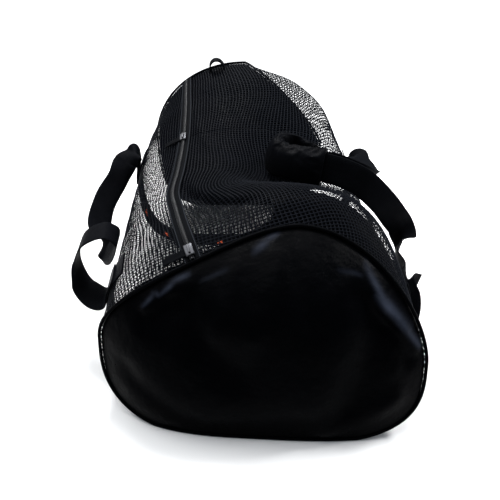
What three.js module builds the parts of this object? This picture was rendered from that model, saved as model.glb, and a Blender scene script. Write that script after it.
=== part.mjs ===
// A mesh duffel bag for dive gear, zipped shut and standing slumped on the floor.
// X runs across the bag, Y along it from the near end to the far end, and Z up. Lengths are in millimetres.
// The near end has sunk back and tucked its top under the mesh, and the far end still stands as a disc.
import * as THREE from "three";

// Driving sizes of the bag
const BAG_LENGTH = 724;
const HALF_WIDTH = 240;
const BAG_HEIGHT = 374;
const MESH_WALL = 1.6;
const PANEL_WALL = 1.6;
const SEAM_GAP = 0.4;

// How finely the body is divided: stations round it that all pieces share, and rows along it
const STATIONS = 48;
const ROWS = 20;
const HANDLE_STEPS = 64;
const SLOT_STEPS = 4;
const MESH_STEPS = 48;
const PIPING_SIDES = 6;
const WRAP_SIDES = 16;
const LOOP_STEPS = 14;
const PULL_STEPS = 8;
const NEAR_PANEL_ROWS = 10;
const NEAR_DISC_SHARE = 0.6;
const FAR_PANEL_ROWS = 5;

// The step that slopes are measured over, and the search for a place across the top
const SLOPE_STEP = 1e-3;
const TOP_TURN = 0.24;
const HALVINGS = 30;

// Webbing of the girth straps and the handles
const WEBBING_WIDTH = 50;
const WEBBING_THICK = 2.4;

// How the near end leans back from the floor to its top, and rounds back at its sides
const LEAN_SLOPE = 0.3;
const LEAN_TOP = 100;
const LEAN_TOP_POWER = 4;
const LEAN_LEFT = 60;
const LEAN_RIGHT = 24;
const LEAN_SIDE_POWER = 3;
const LEAN_FADE = 2;
const NEAR_SKEW = 14;

// Squareness of a section's upper and lower half: 2 is an ellipse, and more is squarer
const BOTTOM_SQUARE = 3.6;
const FLAT_SHARE = 1.06;

// Cross-sections, each at a share of the bag's length. left, right, ridge and zip are shares of HALF_WIDTH,
// top and belly, the height of the widest line, are shares of BAG_HEIGHT. square is the upper left quarter's
// and squareRight the upper right's.
const SECTIONS = [
  { at: 0.0, left: 0.96, right: 1.05, top: 0.69, ridge: 0.3, belly: 0.28, square: 1.75, squareRight: 1.75, zip: -0.34 },
  { at: 0.12, left: 0.96, right: 1.03, top: 0.77, ridge: 0.3, belly: 0.3, square: 1.85, squareRight: 1.85, zip: -0.42 },
  { at: 0.25, left: 0.98, right: 1.01, top: 0.76, ridge: 0.24, belly: 0.32, square: 2, squareRight: 2, zip: -0.5 },
  { at: 0.38, left: 1.0, right: 0.98, top: 0.72, ridge: 0.14, belly: 0.35, square: 2, squareRight: 2, zip: -0.57 },
  { at: 0.52, left: 1.03, right: 0.96, top: 0.72, ridge: 0.06, belly: 0.37, square: 2, squareRight: 2, zip: -0.57 },
  { at: 0.68, left: 1.04, right: 0.95, top: 0.78, ridge: 0.02, belly: 0.4, square: 2, squareRight: 2, zip: -0.57 },
  { at: 0.84, left: 1.04, right: 0.9, top: 0.89, ridge: 0.02, belly: 0.44, square: 2, squareRight: 2, zip: -0.59 },
  { at: 0.92, left: 1.02, right: 0.84, top: 0.965, ridge: 0.08, belly: 0.46, square: 2, squareRight: 2, zip: -0.61 },
  { at: 1.0, left: 0.99, right: 0.75, top: 1.0, ridge: -0.05, belly: 0.48, square: 2, squareRight: 1.2, zip: -0.63 },
];

// Dents in the slack top: across and wide are shares of HALF_WIDTH, along and long of BAG_LENGTH,
// and deep is a share of BAG_HEIGHT.
const DENTS = [
  { across: 0.3, along: 0.57, wide: 0.42, long: 0.14, deep: 0.1 },
  { across: -0.35, along: 0.3, wide: 0.3, long: 0.1, deep: 0.03 },
];

// Zip: its slot in the mesh, coil, tapes, sliders and pulls. Places along are shares of BAG_LENGTH.
const SLOT_WIDTH = 9;
const COIL_WIDTH = 7;
const COIL_HEIGHT = 2.6;
const TAPE_WIDTH = 13;
const TAPE_THICK = 1;
const TAPE_PART = 1.2;
const SLIDER_WIDTH = 13;
const SLIDER_LENGTH = 20;
const SLIDER_WALL = 2;
const SLIDER_GAP = 0.6;
const SLIDER_SEAT = 0.3;
const NEAR_SLIDER_AT = 0.04;
const FAR_SLIDER_AT = 0.685;
const PULL_LENGTH = 36;
const PULL_WIDTH = 14;
const PULL_THICK = 2;

// Piping, end panels and the near panel's tuck. Shares of HALF_WIDTH across, and of BAG_HEIGHT up.
const PIPING_RADIUS = 2.6;
const PIPING_GAP = 0.6;
const PANEL_MIDDLE_ACROSS = 0.05;
const PANEL_MIDDLE_UP = 0.28;
const PANEL_FLAP_POWER = 4;
const CREASE_FADE = 6;
const NEAR_BULGE = 12;
const FAR_BULGE = 8;
const FAR_MIDDLE_UP = 0.5;
const TUCK_TURN = 0.06;
const TUCK_SPREAD = 0.1;
const TUCK_SKEW = 0.08;
const TUCK_HEM = 10;
const TUCK_REACH = 0.2;
const TUCK_DROP = 6;

// Girth straps, the padded grip and the end loop
const NEAR_GIRTH_AT = 0.15;
const FAR_GIRTH_AT = 0.75;
const STRAP_END = 9;
const WRAP_GAP = 1.6;
const WRAP_SIDE_PAD = 7;
const WRAP_FACE_PAD = 11;
const WRAP_TAPER = 0.5;
const WRAP_FIRST_STEP = 21;
const WRAP_STEPS = 17;
const LOOP_ACROSS = -0.34;
const LOOP_SPAN = 36;
const LOOP_RISE = 22;
const LOOP_WIDTH = 16;
const LOOP_THICK = 3;
const LOOP_SEAT = 0.5;

// Creases of the end panels, as lines from one point to another
const CREASES = [
  { end: "near", fromAcross: -0.5, fromUp: 0.52, toAcross: -0.1, toUp: 0.3, wide: 0.12, deep: 0.03 },
  { end: "near", fromAcross: 0.75, fromUp: 0.5, toAcross: 0.6, toUp: 0.15, wide: 0.12, deep: 0.035 },
  { end: "near", fromAcross: -0.6, fromUp: 0.12, toAcross: 0.3, toUp: 0.2, wide: 0.2, deep: -0.02 },
  { end: "far", fromAcross: -0.5, fromUp: 0.8, toAcross: -0.15, toUp: 0.05, wide: 0.1, deep: 0.03 },
  { end: "far", fromAcross: -0.25, fromUp: 0.55, toAcross: 0.1, toUp: 0.15, wide: 0.08, deep: 0.02 },
  { end: "far", fromAcross: -0.45, fromUp: 0.9, toAcross: 0.3, toUp: 0.85, wide: 0.09, deep: 0.02 },
];

// The handles, from their far anchor to their near one. at and turn give a place on the body, lift is how far
// off it as a share of HALF_WIDTH, and the last three are the way the webbing's width lies: along the body,
// round it and out of it.
const LEFT_HANDLE = [
  { at: 0.75, turn: -0.25, lift: 0, sideAlong: 1, sideAround: 0, sideOut: 0 },
  { at: 0.75, turn: -0.229, lift: 0, sideAlong: 1, sideAround: 0, sideOut: 0 },
  { at: 0.75, turn: -0.208, lift: 0.014, sideAlong: 1, sideAround: 0, sideOut: 0 },
  { at: 0.745, turn: -0.19, lift: 0.075, sideAlong: 1, sideAround: 0, sideOut: 0 },
  { at: 0.715, turn: -0.203, lift: 0.125, sideAlong: 0.8, sideAround: 0.4, sideOut: 0.4 },
  { at: 0.655, turn: -0.221, lift: 0.15, sideAlong: 0.2, sideAround: 0.7, sideOut: 0.7 },
  { at: 0.57, turn: -0.236, lift: 0.2, sideAlong: 0.1, sideAround: 0.7, sideOut: 0.7 },
  { at: 0.47, turn: -0.25, lift: 0.2, sideAlong: 0.5, sideAround: 0.6, sideOut: 0.6 },
  { at: 0.385, turn: -0.26, lift: 0.11, sideAlong: 1, sideAround: 0.2, sideOut: 0.2 },
  { at: 0.325, turn: -0.24, lift: 0.03, sideAlong: 1, sideAround: 0, sideOut: 0 },
  { at: 0.295, turn: -0.2, lift: 0.04, sideAlong: 1, sideAround: 0, sideOut: 0 },
  { at: 0.285, turn: -0.196, lift: 0.14, sideAlong: 1, sideAround: 0, sideOut: 0 },
  { at: 0.275, turn: -0.213, lift: 0.24, sideAlong: 1, sideAround: 0, sideOut: 0 },
  { at: 0.26, turn: -0.235, lift: 0.26, sideAlong: 1, sideAround: 0, sideOut: 0 },
  { at: 0.225, turn: -0.253, lift: 0.21, sideAlong: 1, sideAround: 0, sideOut: 0 },
  { at: 0.18, turn: -0.263, lift: 0.1, sideAlong: 1, sideAround: 0, sideOut: 0 },
  { at: 0.153, turn: -0.25, lift: 0.015, sideAlong: 1, sideAround: 0, sideOut: 0 },
  { at: 0.15, turn: -0.229, lift: 0, sideAlong: 1, sideAround: 0, sideOut: 0 },
  { at: 0.15, turn: -0.208, lift: 0, sideAlong: 1, sideAround: 0, sideOut: 0 },
];
const RIGHT_HANDLE = [
  { at: 0.75, turn: 0.25, lift: 0, sideAlong: 1, sideAround: 0, sideOut: 0 },
  { at: 0.75, turn: 0.229, lift: 0, sideAlong: 1, sideAround: 0, sideOut: 0 },
  { at: 0.75, turn: 0.208, lift: 0.024, sideAlong: 1, sideAround: 0, sideOut: 0 },
  { at: 0.72, turn: 0.187, lift: 0.085, sideAlong: 0.8, sideAround: 0.5, sideOut: 0.2 },
  { at: 0.62, turn: 0.18, lift: 0.12, sideAlong: 0.2, sideAround: 0.6, sideOut: 0.75 },
  { at: 0.52, turn: 0.165, lift: 0.14, sideAlong: 0.1, sideAround: 0.1, sideOut: 1 },
  { at: 0.46, turn: 0.135, lift: 0.14, sideAlong: 0, sideAround: 0, sideOut: 1 },
  { at: 0.46, turn: 0.1, lift: 0.14, sideAlong: 0, sideAround: 0, sideOut: 1 },
  { at: 0.5, turn: 0.08, lift: 0.14, sideAlong: 0, sideAround: 0, sideOut: 1 },
  { at: 0.56, turn: 0.066, lift: 0.14, sideAlong: 0, sideAround: 0, sideOut: 1 },
  { at: 0.59, turn: 0.045, lift: 0.14, sideAlong: 0, sideAround: 0, sideOut: 1 },
  { at: 0.57, turn: 0.024, lift: 0.14, sideAlong: 0, sideAround: 0, sideOut: 1 },
  { at: 0.51, turn: 0.015, lift: 0.14, sideAlong: 0, sideAround: 0, sideOut: 1 },
  { at: 0.45, turn: 0.02, lift: 0.135, sideAlong: 0, sideAround: 0, sideOut: 1 },
  { at: 0.4, turn: 0.038, lift: 0.13, sideAlong: 0, sideAround: 0, sideOut: 1 },
  { at: 0.37, turn: 0.07, lift: 0.13, sideAlong: 0, sideAround: 0, sideOut: 1 },
  { at: 0.36, turn: 0.11, lift: 0.125, sideAlong: 0, sideAround: 0, sideOut: 1 },
  { at: 0.365, turn: 0.15, lift: 0.12, sideAlong: 0.2, sideAround: 0, sideOut: 1 },
  { at: 0.385, turn: 0.19, lift: 0.14, sideAlong: 0.2, sideAround: -0.1, sideOut: 1 },
  { at: 0.4, turn: 0.225, lift: 0.19, sideAlong: 0.3, sideAround: -0.5, sideOut: 0.8 },
  { at: 0.36, turn: 0.24, lift: 0.12, sideAlong: 0.4, sideAround: -0.9, sideOut: 0.3 },
  { at: 0.3, turn: 0.235, lift: 0.065, sideAlong: 0.6, sideAround: -0.8, sideOut: 0 },
  { at: 0.22, turn: 0.225, lift: 0.048, sideAlong: 1, sideAround: -0.2, sideOut: 0 },
  { at: 0.175, turn: 0.235, lift: 0.042, sideAlong: 1, sideAround: 0, sideOut: 0 },
  { at: 0.15, turn: 0.25, lift: 0.02, sideAlong: 1, sideAround: 0, sideOut: 0 },
  { at: 0.15, turn: 0.271, lift: 0.005, sideAlong: 1, sideAround: 0, sideOut: 0 },
];

// Finishes
const MESH_FINISH = { color: 0x14161a, roughness: 0.35, metalness: 0 };
const PANEL_FINISH = { color: 0x0c0d11, roughness: 0.45, metalness: 0 };
const WEBBING_FINISH = { color: 0x121316, roughness: 0.7, metalness: 0 };
const WRAP_FINISH = { color: 0x15161a, roughness: 0.6, metalness: 0 };
const TAPE_FINISH = { color: 0x17181c, roughness: 0.5, metalness: 0 };
const PIPING_FINISH = { color: 0x0e0f13, roughness: 0.4, metalness: 0 };
const METAL_FINISH = { color: 0xb9bcc2, roughness: 0.3, metalness: 1 };

// A column of a table at a place along the bag, on a smooth curve through its rows
function columnAt(rows, column, at) {
  const last = rows.length - 1;
  let i = 0;
  while (i < last - 1 && at > rows[i + 1].at) i++;
  const slope = (k) => {
    const a = rows[Math.max(0, k - 1)];
    const b = rows[Math.min(last, k + 1)];
    return (b[column] - a[column]) / (b.at - a.at);
  };
  const span = rows[i + 1].at - rows[i].at;
  const t = THREE.MathUtils.clamp((at - rows[i].at) / span, 0, 1);
  const t2 = t * t;
  const t3 = t2 * t;
  return (
    (2 * t3 - 3 * t2 + 1) * rows[i][column] +
    (t3 - 2 * t2 + t) * span * slope(i) +
    (3 * t2 - 2 * t3) * rows[i + 1][column] +
    (t3 - t2) * span * slope(i + 1)
  );
}

// The section's point at a turn round it, from 0 at its top through 0.25 at the right
function sectionPoint(turn, at) {
  const get = (column) => columnAt(SECTIONS, column, at);
  const s = Math.sin(2 * Math.PI * turn);
  const c = Math.cos(2 * Math.PI * turn);
  const upperSquare = s >= 0 ? get("squareRight") : get("square");
  const n = c >= 0 ? upperSquare : BOTTOM_SQUARE;
  const reach = (Math.abs(s) ** n + Math.abs(c) ** n) ** (-1 / n);
  const half = HALF_WIDTH * (s >= 0 ? get("right") : get("left"));
  const belly = BAG_HEIGHT * get("belly");
  const up = c * reach;
  const x = half * s * reach + HALF_WIDTH * get("ridge") * Math.max(0, up) ** 2;
  const z = up >= 0 ? belly + (BAG_HEIGHT * get("top") - belly) * up : Math.max(0, belly * (1 + FLAT_SHARE * up));
  return new THREE.Vector3(x, BAG_LENGTH * at, z);
}

// How far the near seam stands back at a turn round the bag
function nearLean(turn) {
  const p = sectionPoint(turn, 0);
  const high = p.z / (BAG_HEIGHT * SECTIONS[0].top);
  const side = (p.x < 0 ? LEAN_LEFT : LEAN_RIGHT) * (Math.abs(p.x) / HALF_WIDTH) ** LEAN_SIDE_POWER;
  return LEAN_SLOPE * p.z + LEAN_TOP * high ** LEAN_TOP_POWER + side - (NEAR_SKEW * p.x) / HALF_WIDTH;
}

function bodyPoint(turn, at) {
  const p = sectionPoint(turn, at);
  p.y += nearLean(turn) * (1 - at) ** LEAN_FADE;
  const upper = Math.max(0, Math.cos(2 * Math.PI * turn));
  for (const dent of DENTS) {
    const dx = (p.x / HALF_WIDTH - dent.across) / dent.wide;
    const dy = (p.y / BAG_LENGTH - dent.along) / dent.long;
    p.z -= BAG_HEIGHT * dent.deep * Math.min(1, 2 * upper) * Math.exp(-dx * dx - dy * dy);
  }
  p.z += WEBBING_THICK + SEAM_GAP;
  return p;
}

// The outward normal of the body, and a point lifted off it by a distance
function bodyNormal(turn, at) {
  const low = Math.max(0, at - SLOPE_STEP);
  const high = Math.min(1, at + SLOPE_STEP);
  const along = bodyPoint(turn, high).sub(bodyPoint(turn, low));
  const around = bodyPoint(turn + SLOPE_STEP, at).sub(bodyPoint(turn - SLOPE_STEP, at));
  return around.cross(along).normalize();
}

// The directions along the body, round it and out of it
function bodyDirections(turn, at) {
  const out = bodyNormal(turn, at);
  const along = bodyPoint(turn, at + SLOPE_STEP).sub(bodyPoint(turn, at - SLOPE_STEP)).normalize();
  return [along, out.clone().cross(along).negate(), out];
}

function liftedPoint(turn, at, lift) {
  return bodyPoint(turn, at).addScaledVector(bodyNormal(turn, at), lift);
}

// How far a turn or a place has to change to go one millimetre over the body
function turnPerMillimetre(turn, at) {
  return (2 * SLOPE_STEP) / bodyPoint(turn + SLOPE_STEP, at).distanceTo(bodyPoint(turn - SLOPE_STEP, at));
}

function atPerMillimetre(turn, at) {
  const inside = THREE.MathUtils.clamp(at, SLOPE_STEP, 1 - SLOPE_STEP);
  return (2 * SLOPE_STEP) / bodyPoint(turn, inside + SLOPE_STEP).distanceTo(bodyPoint(turn, inside - SLOPE_STEP));
}

// The turn at which the upper body lies a share of HALF_WIDTH across
function turnAcross(share, at) {
  let low = -TOP_TURN;
  let high = TOP_TURN;
  for (let i = 0; i < HALVINGS; i++) {
    const middle = (low + high) / 2;
    if (bodyPoint(middle, at).x < share * HALF_WIDTH) low = middle;
    else high = middle;
  }
  return low;
}

function zipTurn(at) {
  return turnAcross(columnAt(SECTIONS, "zip", at), at);
}

const group = new THREE.Group();

// Adds a closed solid between two like grids of points, the second of them on its inside
function addSlab(name, outer, inner, finish) {
  const positions = [];
  const indices = [];
  const known = new Map();
  const vertex = (p) => {
    const key = [p.x, p.y, p.z].map((value) => Math.round(value * 1e3)).join();
    if (!known.has(key)) {
      known.set(key, positions.length / 3);
      positions.push(p.x, p.y, p.z);
    }
    return known.get(key);
  };
  const triangle = (a, b, c) => {
    if (a !== b && b !== c && c !== a) indices.push(a, b, c);
  };
  const quad = (...corners) => {
    const [a, b, c, d] = corners.map(vertex);
    triangle(a, b, c);
    triangle(a, c, d);
  };
  const lastRow = outer.length - 1;
  const lastStep = outer[0].length - 1;
  const opens = (a, b) => a.distanceTo(b) > 1e-3;
  for (let j = 0; j < lastRow; j++) {
    for (let i = 0; i < lastStep; i++) {
      quad(outer[j][i], outer[j][i + 1], outer[j + 1][i + 1], outer[j + 1][i]);
      quad(inner[j][i], inner[j + 1][i], inner[j + 1][i + 1], inner[j][i + 1]);
    }
    if (opens(outer[j][0], outer[j][lastStep])) {
      quad(outer[j][0], outer[j + 1][0], inner[j + 1][0], inner[j][0]);
      quad(outer[j + 1][lastStep], outer[j][lastStep], inner[j][lastStep], inner[j + 1][lastStep]);
    }
  }
  for (let i = 0; i < lastStep; i++) {
    quad(outer[0][i + 1], outer[0][i], inner[0][i], inner[0][i + 1]);
    quad(outer[lastRow][i], outer[lastRow][i + 1], inner[lastRow][i + 1], inner[lastRow][i]);
  }
  addMesh(name, positions, indices, finish);
}

// Adds a mesh with its faces turned out
function addMesh(name, positions, indices, finish) {
  const corner = (k) => new THREE.Vector3().fromArray(positions, 3 * indices[k]);
  let volume = 0;
  for (let k = 0; k < indices.length; k += 3) volume += corner(k).dot(corner(k + 1).cross(corner(k + 2)));
  if (volume < 0) indices.reverse();
  const geometry = new THREE.BufferGeometry();
  geometry.setAttribute("position", new THREE.Float32BufferAttribute(positions, 3));
  geometry.setIndex(indices);
  geometry.computeVertexNormals();
  const mesh = new THREE.Mesh(geometry, new THREE.MeshStandardMaterial(finish));
  mesh.name = name;
  group.add(mesh);
}

// A grid of points from a function of its row and its step
function gridOf(rows, steps, pointAt) {
  const row = (j) => Array.from({ length: steps + 1 }, (_, i) => pointAt(j / rows, i / steps));
  return Array.from({ length: rows + 1 }, (_, j) => row(j));
}

// The mesh barrel, open along the zip, between the two piped seams
function seamInset(turn, at) {
  return (PIPING_RADIUS + PIPING_GAP) * atPerMillimetre(turn, at);
}

// The mesh's turns: a few follow the zip's slot at each side, and the rest are the stations all pieces share
function meshTurn(step, at) {
  const slot = (SLOT_WIDTH / 2) * turnPerMillimetre(zipTurn(at), at);
  const first = zipTurn(at) + slot;
  const last = 1 + zipTurn(at) - slot;
  const index = step * MESH_STEPS;
  if (index < SLOT_STEPS) return first * (1 - index / SLOT_STEPS);
  const fixed = MESH_STEPS - 2 * SLOT_STEPS;
  if (index <= SLOT_STEPS + fixed) return (index - SLOT_STEPS) / STATIONS;
  return THREE.MathUtils.lerp(fixed / STATIONS, last, (index - SLOT_STEPS - fixed) / SLOT_STEPS);
}

function addMeshBody() {
  const wall = (lift) => (row, step) => {
    const turn = meshTurn(step, row);
    const at = THREE.MathUtils.lerp(seamInset(turn, 0), 1 - seamInset(turn, 1), row);
    return liftedPoint(turn, at, lift);
  };
  const faces = [0, -MESH_WALL].map((lift) => gridOf(ROWS, MESH_STEPS, wall(lift)));
  addSlab("mesh_body", ...faces, MESH_FINISH);
}

// A strip of the body's surface: its edges are turns given as functions of the place along
function addZipTape(name, side) {
  const strip = (lift) => (row, step) => {
    const at = THREE.MathUtils.lerp(seamInset(zipTurn(0), 0), 1 - seamInset(zipTurn(1), 1), row);
    const across = side * (TAPE_PART / 2 + step * TAPE_WIDTH);
    return liftedPoint(zipTurn(at) + across * turnPerMillimetre(zipTurn(at), at), at, lift);
  };
  const under = SEAM_GAP;
  addSlab(name, gridOf(ROWS, 1, strip(under + TAPE_THICK)), gridOf(ROWS, 1, strip(under)), TAPE_FINISH);
}

function addZipCoil() {
  const base = 2 * SEAM_GAP + TAPE_THICK;
  const strip = (lift) => (row, step) => {
    const at = THREE.MathUtils.lerp(seamInset(zipTurn(0), 0), 1 - seamInset(zipTurn(1), 1), row);
    const across = (step - 0.5) * COIL_WIDTH;
    return liftedPoint(zipTurn(at) + across * turnPerMillimetre(zipTurn(at), at), at, lift);
  };
  addSlab("zip_coil", gridOf(ROWS, 1, strip(base + COIL_HEIGHT)), gridOf(ROWS, 1, strip(base)), TAPE_FINISH);
}

// A slider that straddles the coil: a plate over it with a cheek on each side
function addSlider(name, share) {
  const at = share;
  const turn = zipTurn(at);
  const up = bodyNormal(turn, at);
  const next = liftedPoint(zipTurn(at + 0.01), at + 0.01, 0);
  const along = next.sub(liftedPoint(turn, at, 0)).normalize();
  const right = up.clone().cross(along).normalize();
  const high = COIL_HEIGHT + SLIDER_GAP;
  const inner = COIL_WIDTH / 2 + SLIDER_GAP;
  const outline = [
    [-SLIDER_WIDTH / 2, 0],
    [-inner, 0],
    [-inner, high],
    [inner, high],
    [inner, 0],
    [SLIDER_WIDTH / 2, 0],
    [SLIDER_WIDTH / 2, high + SLIDER_WALL],
    [-SLIDER_WIDTH / 2, high + SLIDER_WALL],
  ];
  const shape = new THREE.Shape(outline.map(([x, y]) => new THREE.Vector2(x, y)));
  const geometry = new THREE.ExtrudeGeometry(shape, { depth: SLIDER_LENGTH, bevelEnabled: false });
  geometry.translate(0, 0, -SLIDER_LENGTH / 2);
  const basis = new THREE.Matrix4().makeBasis(right, up, along.clone());
  basis.setPosition(liftedPoint(turn, at, 2 * SEAM_GAP + TAPE_THICK + SLIDER_SEAT));
  geometry.applyMatrix4(basis);
  const mesh = new THREE.Mesh(geometry, new THREE.MeshStandardMaterial(METAL_FINISH));
  mesh.name = name;
  group.add(mesh);
}

// A tube round a seam, on the body's own edge
function addPiping(name, at) {
  const tube = (row, step) => {
    const turn = row;
    const angle = 2 * Math.PI * step;
    const along = new THREE.Vector3(0, 1, 0);
    const out = bodyNormal(turn, at).projectOnPlane(along).normalize();
    const centre = bodyPoint(turn, at);
    centre.addScaledVector(out, PIPING_RADIUS * Math.cos(angle));
    return centre.addScaledVector(along, PIPING_RADIUS * Math.sin(angle));
  };
  addTube(name, gridOf(STATIONS, PIPING_SIDES, tube), PIPING_FINISH);
}

// Adds a closed ring from a grid whose last row and last step meet the first
function addTube(name, rows, finish) {
  const count = rows[0].length - 1;
  const positions = rows.slice(0, -1).flatMap((row) => row.slice(0, -1).flatMap((p) => p.toArray()));
  const indices = [];
  for (let j = 0; j < rows.length - 1; j++) {
    for (let i = 0; i < count; i++) {
      const next = (j + 1) % (rows.length - 1);
      const a = j * count + i;
      const b = j * count + ((i + 1) % count);
      const c = next * count + ((i + 1) % count);
      const d = next * count + i;
      indices.push(a, b, c, a, c, d);
    }
  }
  addMesh(name, positions, indices, finish);
}

// How deep the creases of an end panel are at a point of it
function creaseDepth(end, x, z) {
  let depth = 0;
  for (const crease of CREASES.filter((row) => row.end === end)) {
    const from = new THREE.Vector3(crease.fromAcross * HALF_WIDTH, 0, crease.fromUp * BAG_HEIGHT);
    const to = new THREE.Vector3(crease.toAcross * HALF_WIDTH, 0, crease.toUp * BAG_HEIGHT);
    const near = new THREE.Line3(from, to).closestPointToPoint(new THREE.Vector3(x, 0, z), true, new THREE.Vector3());
    const away = Math.hypot(near.x - x, near.z - z) / (crease.wide * HALF_WIDTH);
    depth += crease.deep * BAG_HEIGHT * Math.exp(-away * away);
  }
  return depth;
}

// The end panels, from their middle at 0 out to the piped seam at 1
const PANEL_INSET = PIPING_RADIUS + PIPING_GAP;
function nearPanelPoint(turn, out) {
  const rim = liftedPoint(turn, 0, -PANEL_INSET);
  const x = THREE.MathUtils.lerp(PANEL_MIDDLE_ACROSS * HALF_WIDTH, rim.x, out);
  const z = THREE.MathUtils.lerp(PANEL_MIDDLE_UP * BAG_HEIGHT, rim.z, out);
  const lean = (px, pz) => LEAN_SLOPE * pz - (NEAR_SKEW * px) / HALF_WIDTH;
  const edge = (rim.y - lean(rim.x, rim.z)) * out ** PANEL_FLAP_POWER;
  const bulge = NEAR_BULGE * (1 - out * out) - creaseDepth("near", x, z) * (1 - out ** CREASE_FADE);
  return new THREE.Vector3(x, lean(x, z) + edge - bulge, z);
}

function farPanelPoint(turn, out) {
  const rim = liftedPoint(turn, 1, -PANEL_INSET);
  const x = THREE.MathUtils.lerp(0, rim.x, out);
  const z = THREE.MathUtils.lerp(FAR_MIDDLE_UP * BAG_HEIGHT, rim.z, out);
  const bulge = FAR_BULGE * (1 - out * out) - creaseDepth("far", x, z) * (1 - out ** CREASE_FADE);
  return new THREE.Vector3(x, THREE.MathUtils.lerp(BAG_LENGTH, rim.y, out) + bulge, z);
}

// The near panel's slack, tucked in under the mesh from the seam at 0 back to its hem at 1
function tuckPoint(turn, back) {
  const away = (turn - TUCK_TURN) / TUCK_SPREAD;
  const share = Math.exp(-(away ** 4));
  const skewed = turn - TUCK_SKEW * share * back;
  const at = back * (TUCK_HEM * atPerMillimetre(turn, 0) + TUCK_REACH * share);
  return liftedPoint(skewed, at, -PANEL_INSET - back * share * TUCK_DROP);
}

// Both faces of a sheet, the second one a wall behind the first
function sheetFaces(rows, steps, pointAt, wall, inward) {
  const small = SLOPE_STEP;
  const normalAt = (row, step) => {
    const low = Math.max(small, row - small);
    const high = Math.min(1, row + small);
    const safe = THREE.MathUtils.clamp(row, small, 1);
    const down = pointAt(high, step).sub(pointAt(low, step));
    const across = pointAt(safe, step + small).sub(pointAt(safe, step - small));
    return down.cross(across).normalize();
  };
  const turned = Math.sign(normalAt(0.2, 0.5).dot(inward));
  const outer = gridOf(rows, steps, pointAt);
  const inner = gridOf(rows, steps, (row, step) => {
    const normal = row === 0 ? inward.clone() : normalAt(row, step).multiplyScalar(turned);
    return pointAt(row, step).addScaledVector(normal, wall);
  });
  return [outer, inner];
}

function addNearPanel() {
  const pointAt = (row, step) => {
    const turn = step - 0.5;
    if (row <= NEAR_DISC_SHARE) return nearPanelPoint(turn, row / NEAR_DISC_SHARE);
    return tuckPoint(turn, (row - NEAR_DISC_SHARE) / (1 - NEAR_DISC_SHARE));
  };
  const faces = sheetFaces(NEAR_PANEL_ROWS, STATIONS, pointAt, PANEL_WALL, new THREE.Vector3(0, 1, 0));
  addSlab("end_panel_near", ...faces, PANEL_FINISH);
}

function addFarPanel() {
  const pointAt = (row, step) => farPanelPoint(step - 0.5, row);
  const faces = sheetFaces(FAR_PANEL_ROWS, STATIONS, pointAt, PANEL_WALL, new THREE.Vector3(0, -1, 0));
  addSlab("end_panel_far", ...faces, PANEL_FINISH);
}

// Webbing sewn round the barrel from one side down under it and up the other
function addGirthStrap(name, middleAt) {
  const steps = STATIONS - 2 * STRAP_END;
  const strip = (lift) => (row, step) => {
    const turn = THREE.MathUtils.lerp(STRAP_END, STATIONS - STRAP_END, row) / STATIONS;
    const across = (step - 0.5) * WEBBING_WIDTH;
    return liftedPoint(turn, middleAt + across * atPerMillimetre(turn, middleAt), lift);
  };
  addSlab(name, gridOf(steps, 2, strip(SEAM_GAP + WEBBING_THICK)), gridOf(steps, 2, strip(SEAM_GAP)), WEBBING_FINISH);
}

// A run of webbing through the rows of a handle's table: its middle line and the way its width lies
function handleRun(rows) {
  const base = 2 * SEAM_GAP + 1.5 * WEBBING_THICK;
  const points = rows.map((row) => liftedPoint(row.turn, row.at, base + row.lift * HALF_WIDTH));
  const curve = new THREE.CatmullRomCurve3(points, false, "centripetal");
  return (share) => {
    const place = share * (rows.length - 1);
    const i = Math.min(rows.length - 2, Math.floor(place));
    const mix = THREE.MathUtils.smoothstep(place - i, 0, 1);
    const side = (row) => {
      const [along, around, out] = bodyDirections(row.turn, row.at);
      const vector = along.multiplyScalar(row.sideAlong).addScaledVector(around, row.sideAround);
      return vector.addScaledVector(out, row.sideOut).normalize();
    };
    const middle = curve.getPoint(share);
    const tangent = curve.getTangent(share);
    const wide = side(rows[i]).lerp(side(rows[i + 1]), mix).projectOnPlane(tangent).normalize();
    const face = tangent.clone().cross(wide).normalize();
    return { middle, wide, face };
  };
}

function addHandle(name, rows) {
  const run = handleRun(rows);
  const strip = (side) => (row, step) => {
    const { middle, wide, face } = run(row);
    middle.addScaledVector(wide, (step - 0.5) * WEBBING_WIDTH);
    return middle.addScaledVector(face, (side * WEBBING_THICK) / 2);
  };
  addSlab(name, gridOf(HANDLE_STEPS, 1, strip(1)), gridOf(HANDLE_STEPS, 1, strip(-1)), WEBBING_FINISH);
}

// The padded grip, a soft sleeve that the webbing runs through
function addWrap(name, rows) {
  const run = handleRun(rows);
  const halfWide = WEBBING_WIDTH / 2 + WRAP_GAP;
  const halfThick = WEBBING_THICK / 2 + WRAP_GAP;
  const ring = (pad, square) => (row, step) => {
    const { middle, wide, face } = run((WRAP_FIRST_STEP + row * WRAP_STEPS) / HANDLE_STEPS);
    const angle = 2 * Math.PI * step;
    const c = Math.cos(angle);
    const s = Math.sin(angle);
    const crown = 1 - WRAP_TAPER * (2 * row - 1) ** 4;
    const reach = square ? 1 / Math.max(Math.abs(c), Math.abs(s)) : 1;
    middle.addScaledVector(wide, (halfWide + pad * WRAP_SIDE_PAD) * c * reach);
    return middle.addScaledVector(face, (halfThick + pad * WRAP_FACE_PAD * crown) * s * reach);
  };
  addSlab(name, gridOf(WRAP_STEPS, WRAP_SIDES, ring(1, false)), gridOf(WRAP_STEPS, WRAP_SIDES, ring(0, true)), WRAP_FINISH);
}

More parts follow.
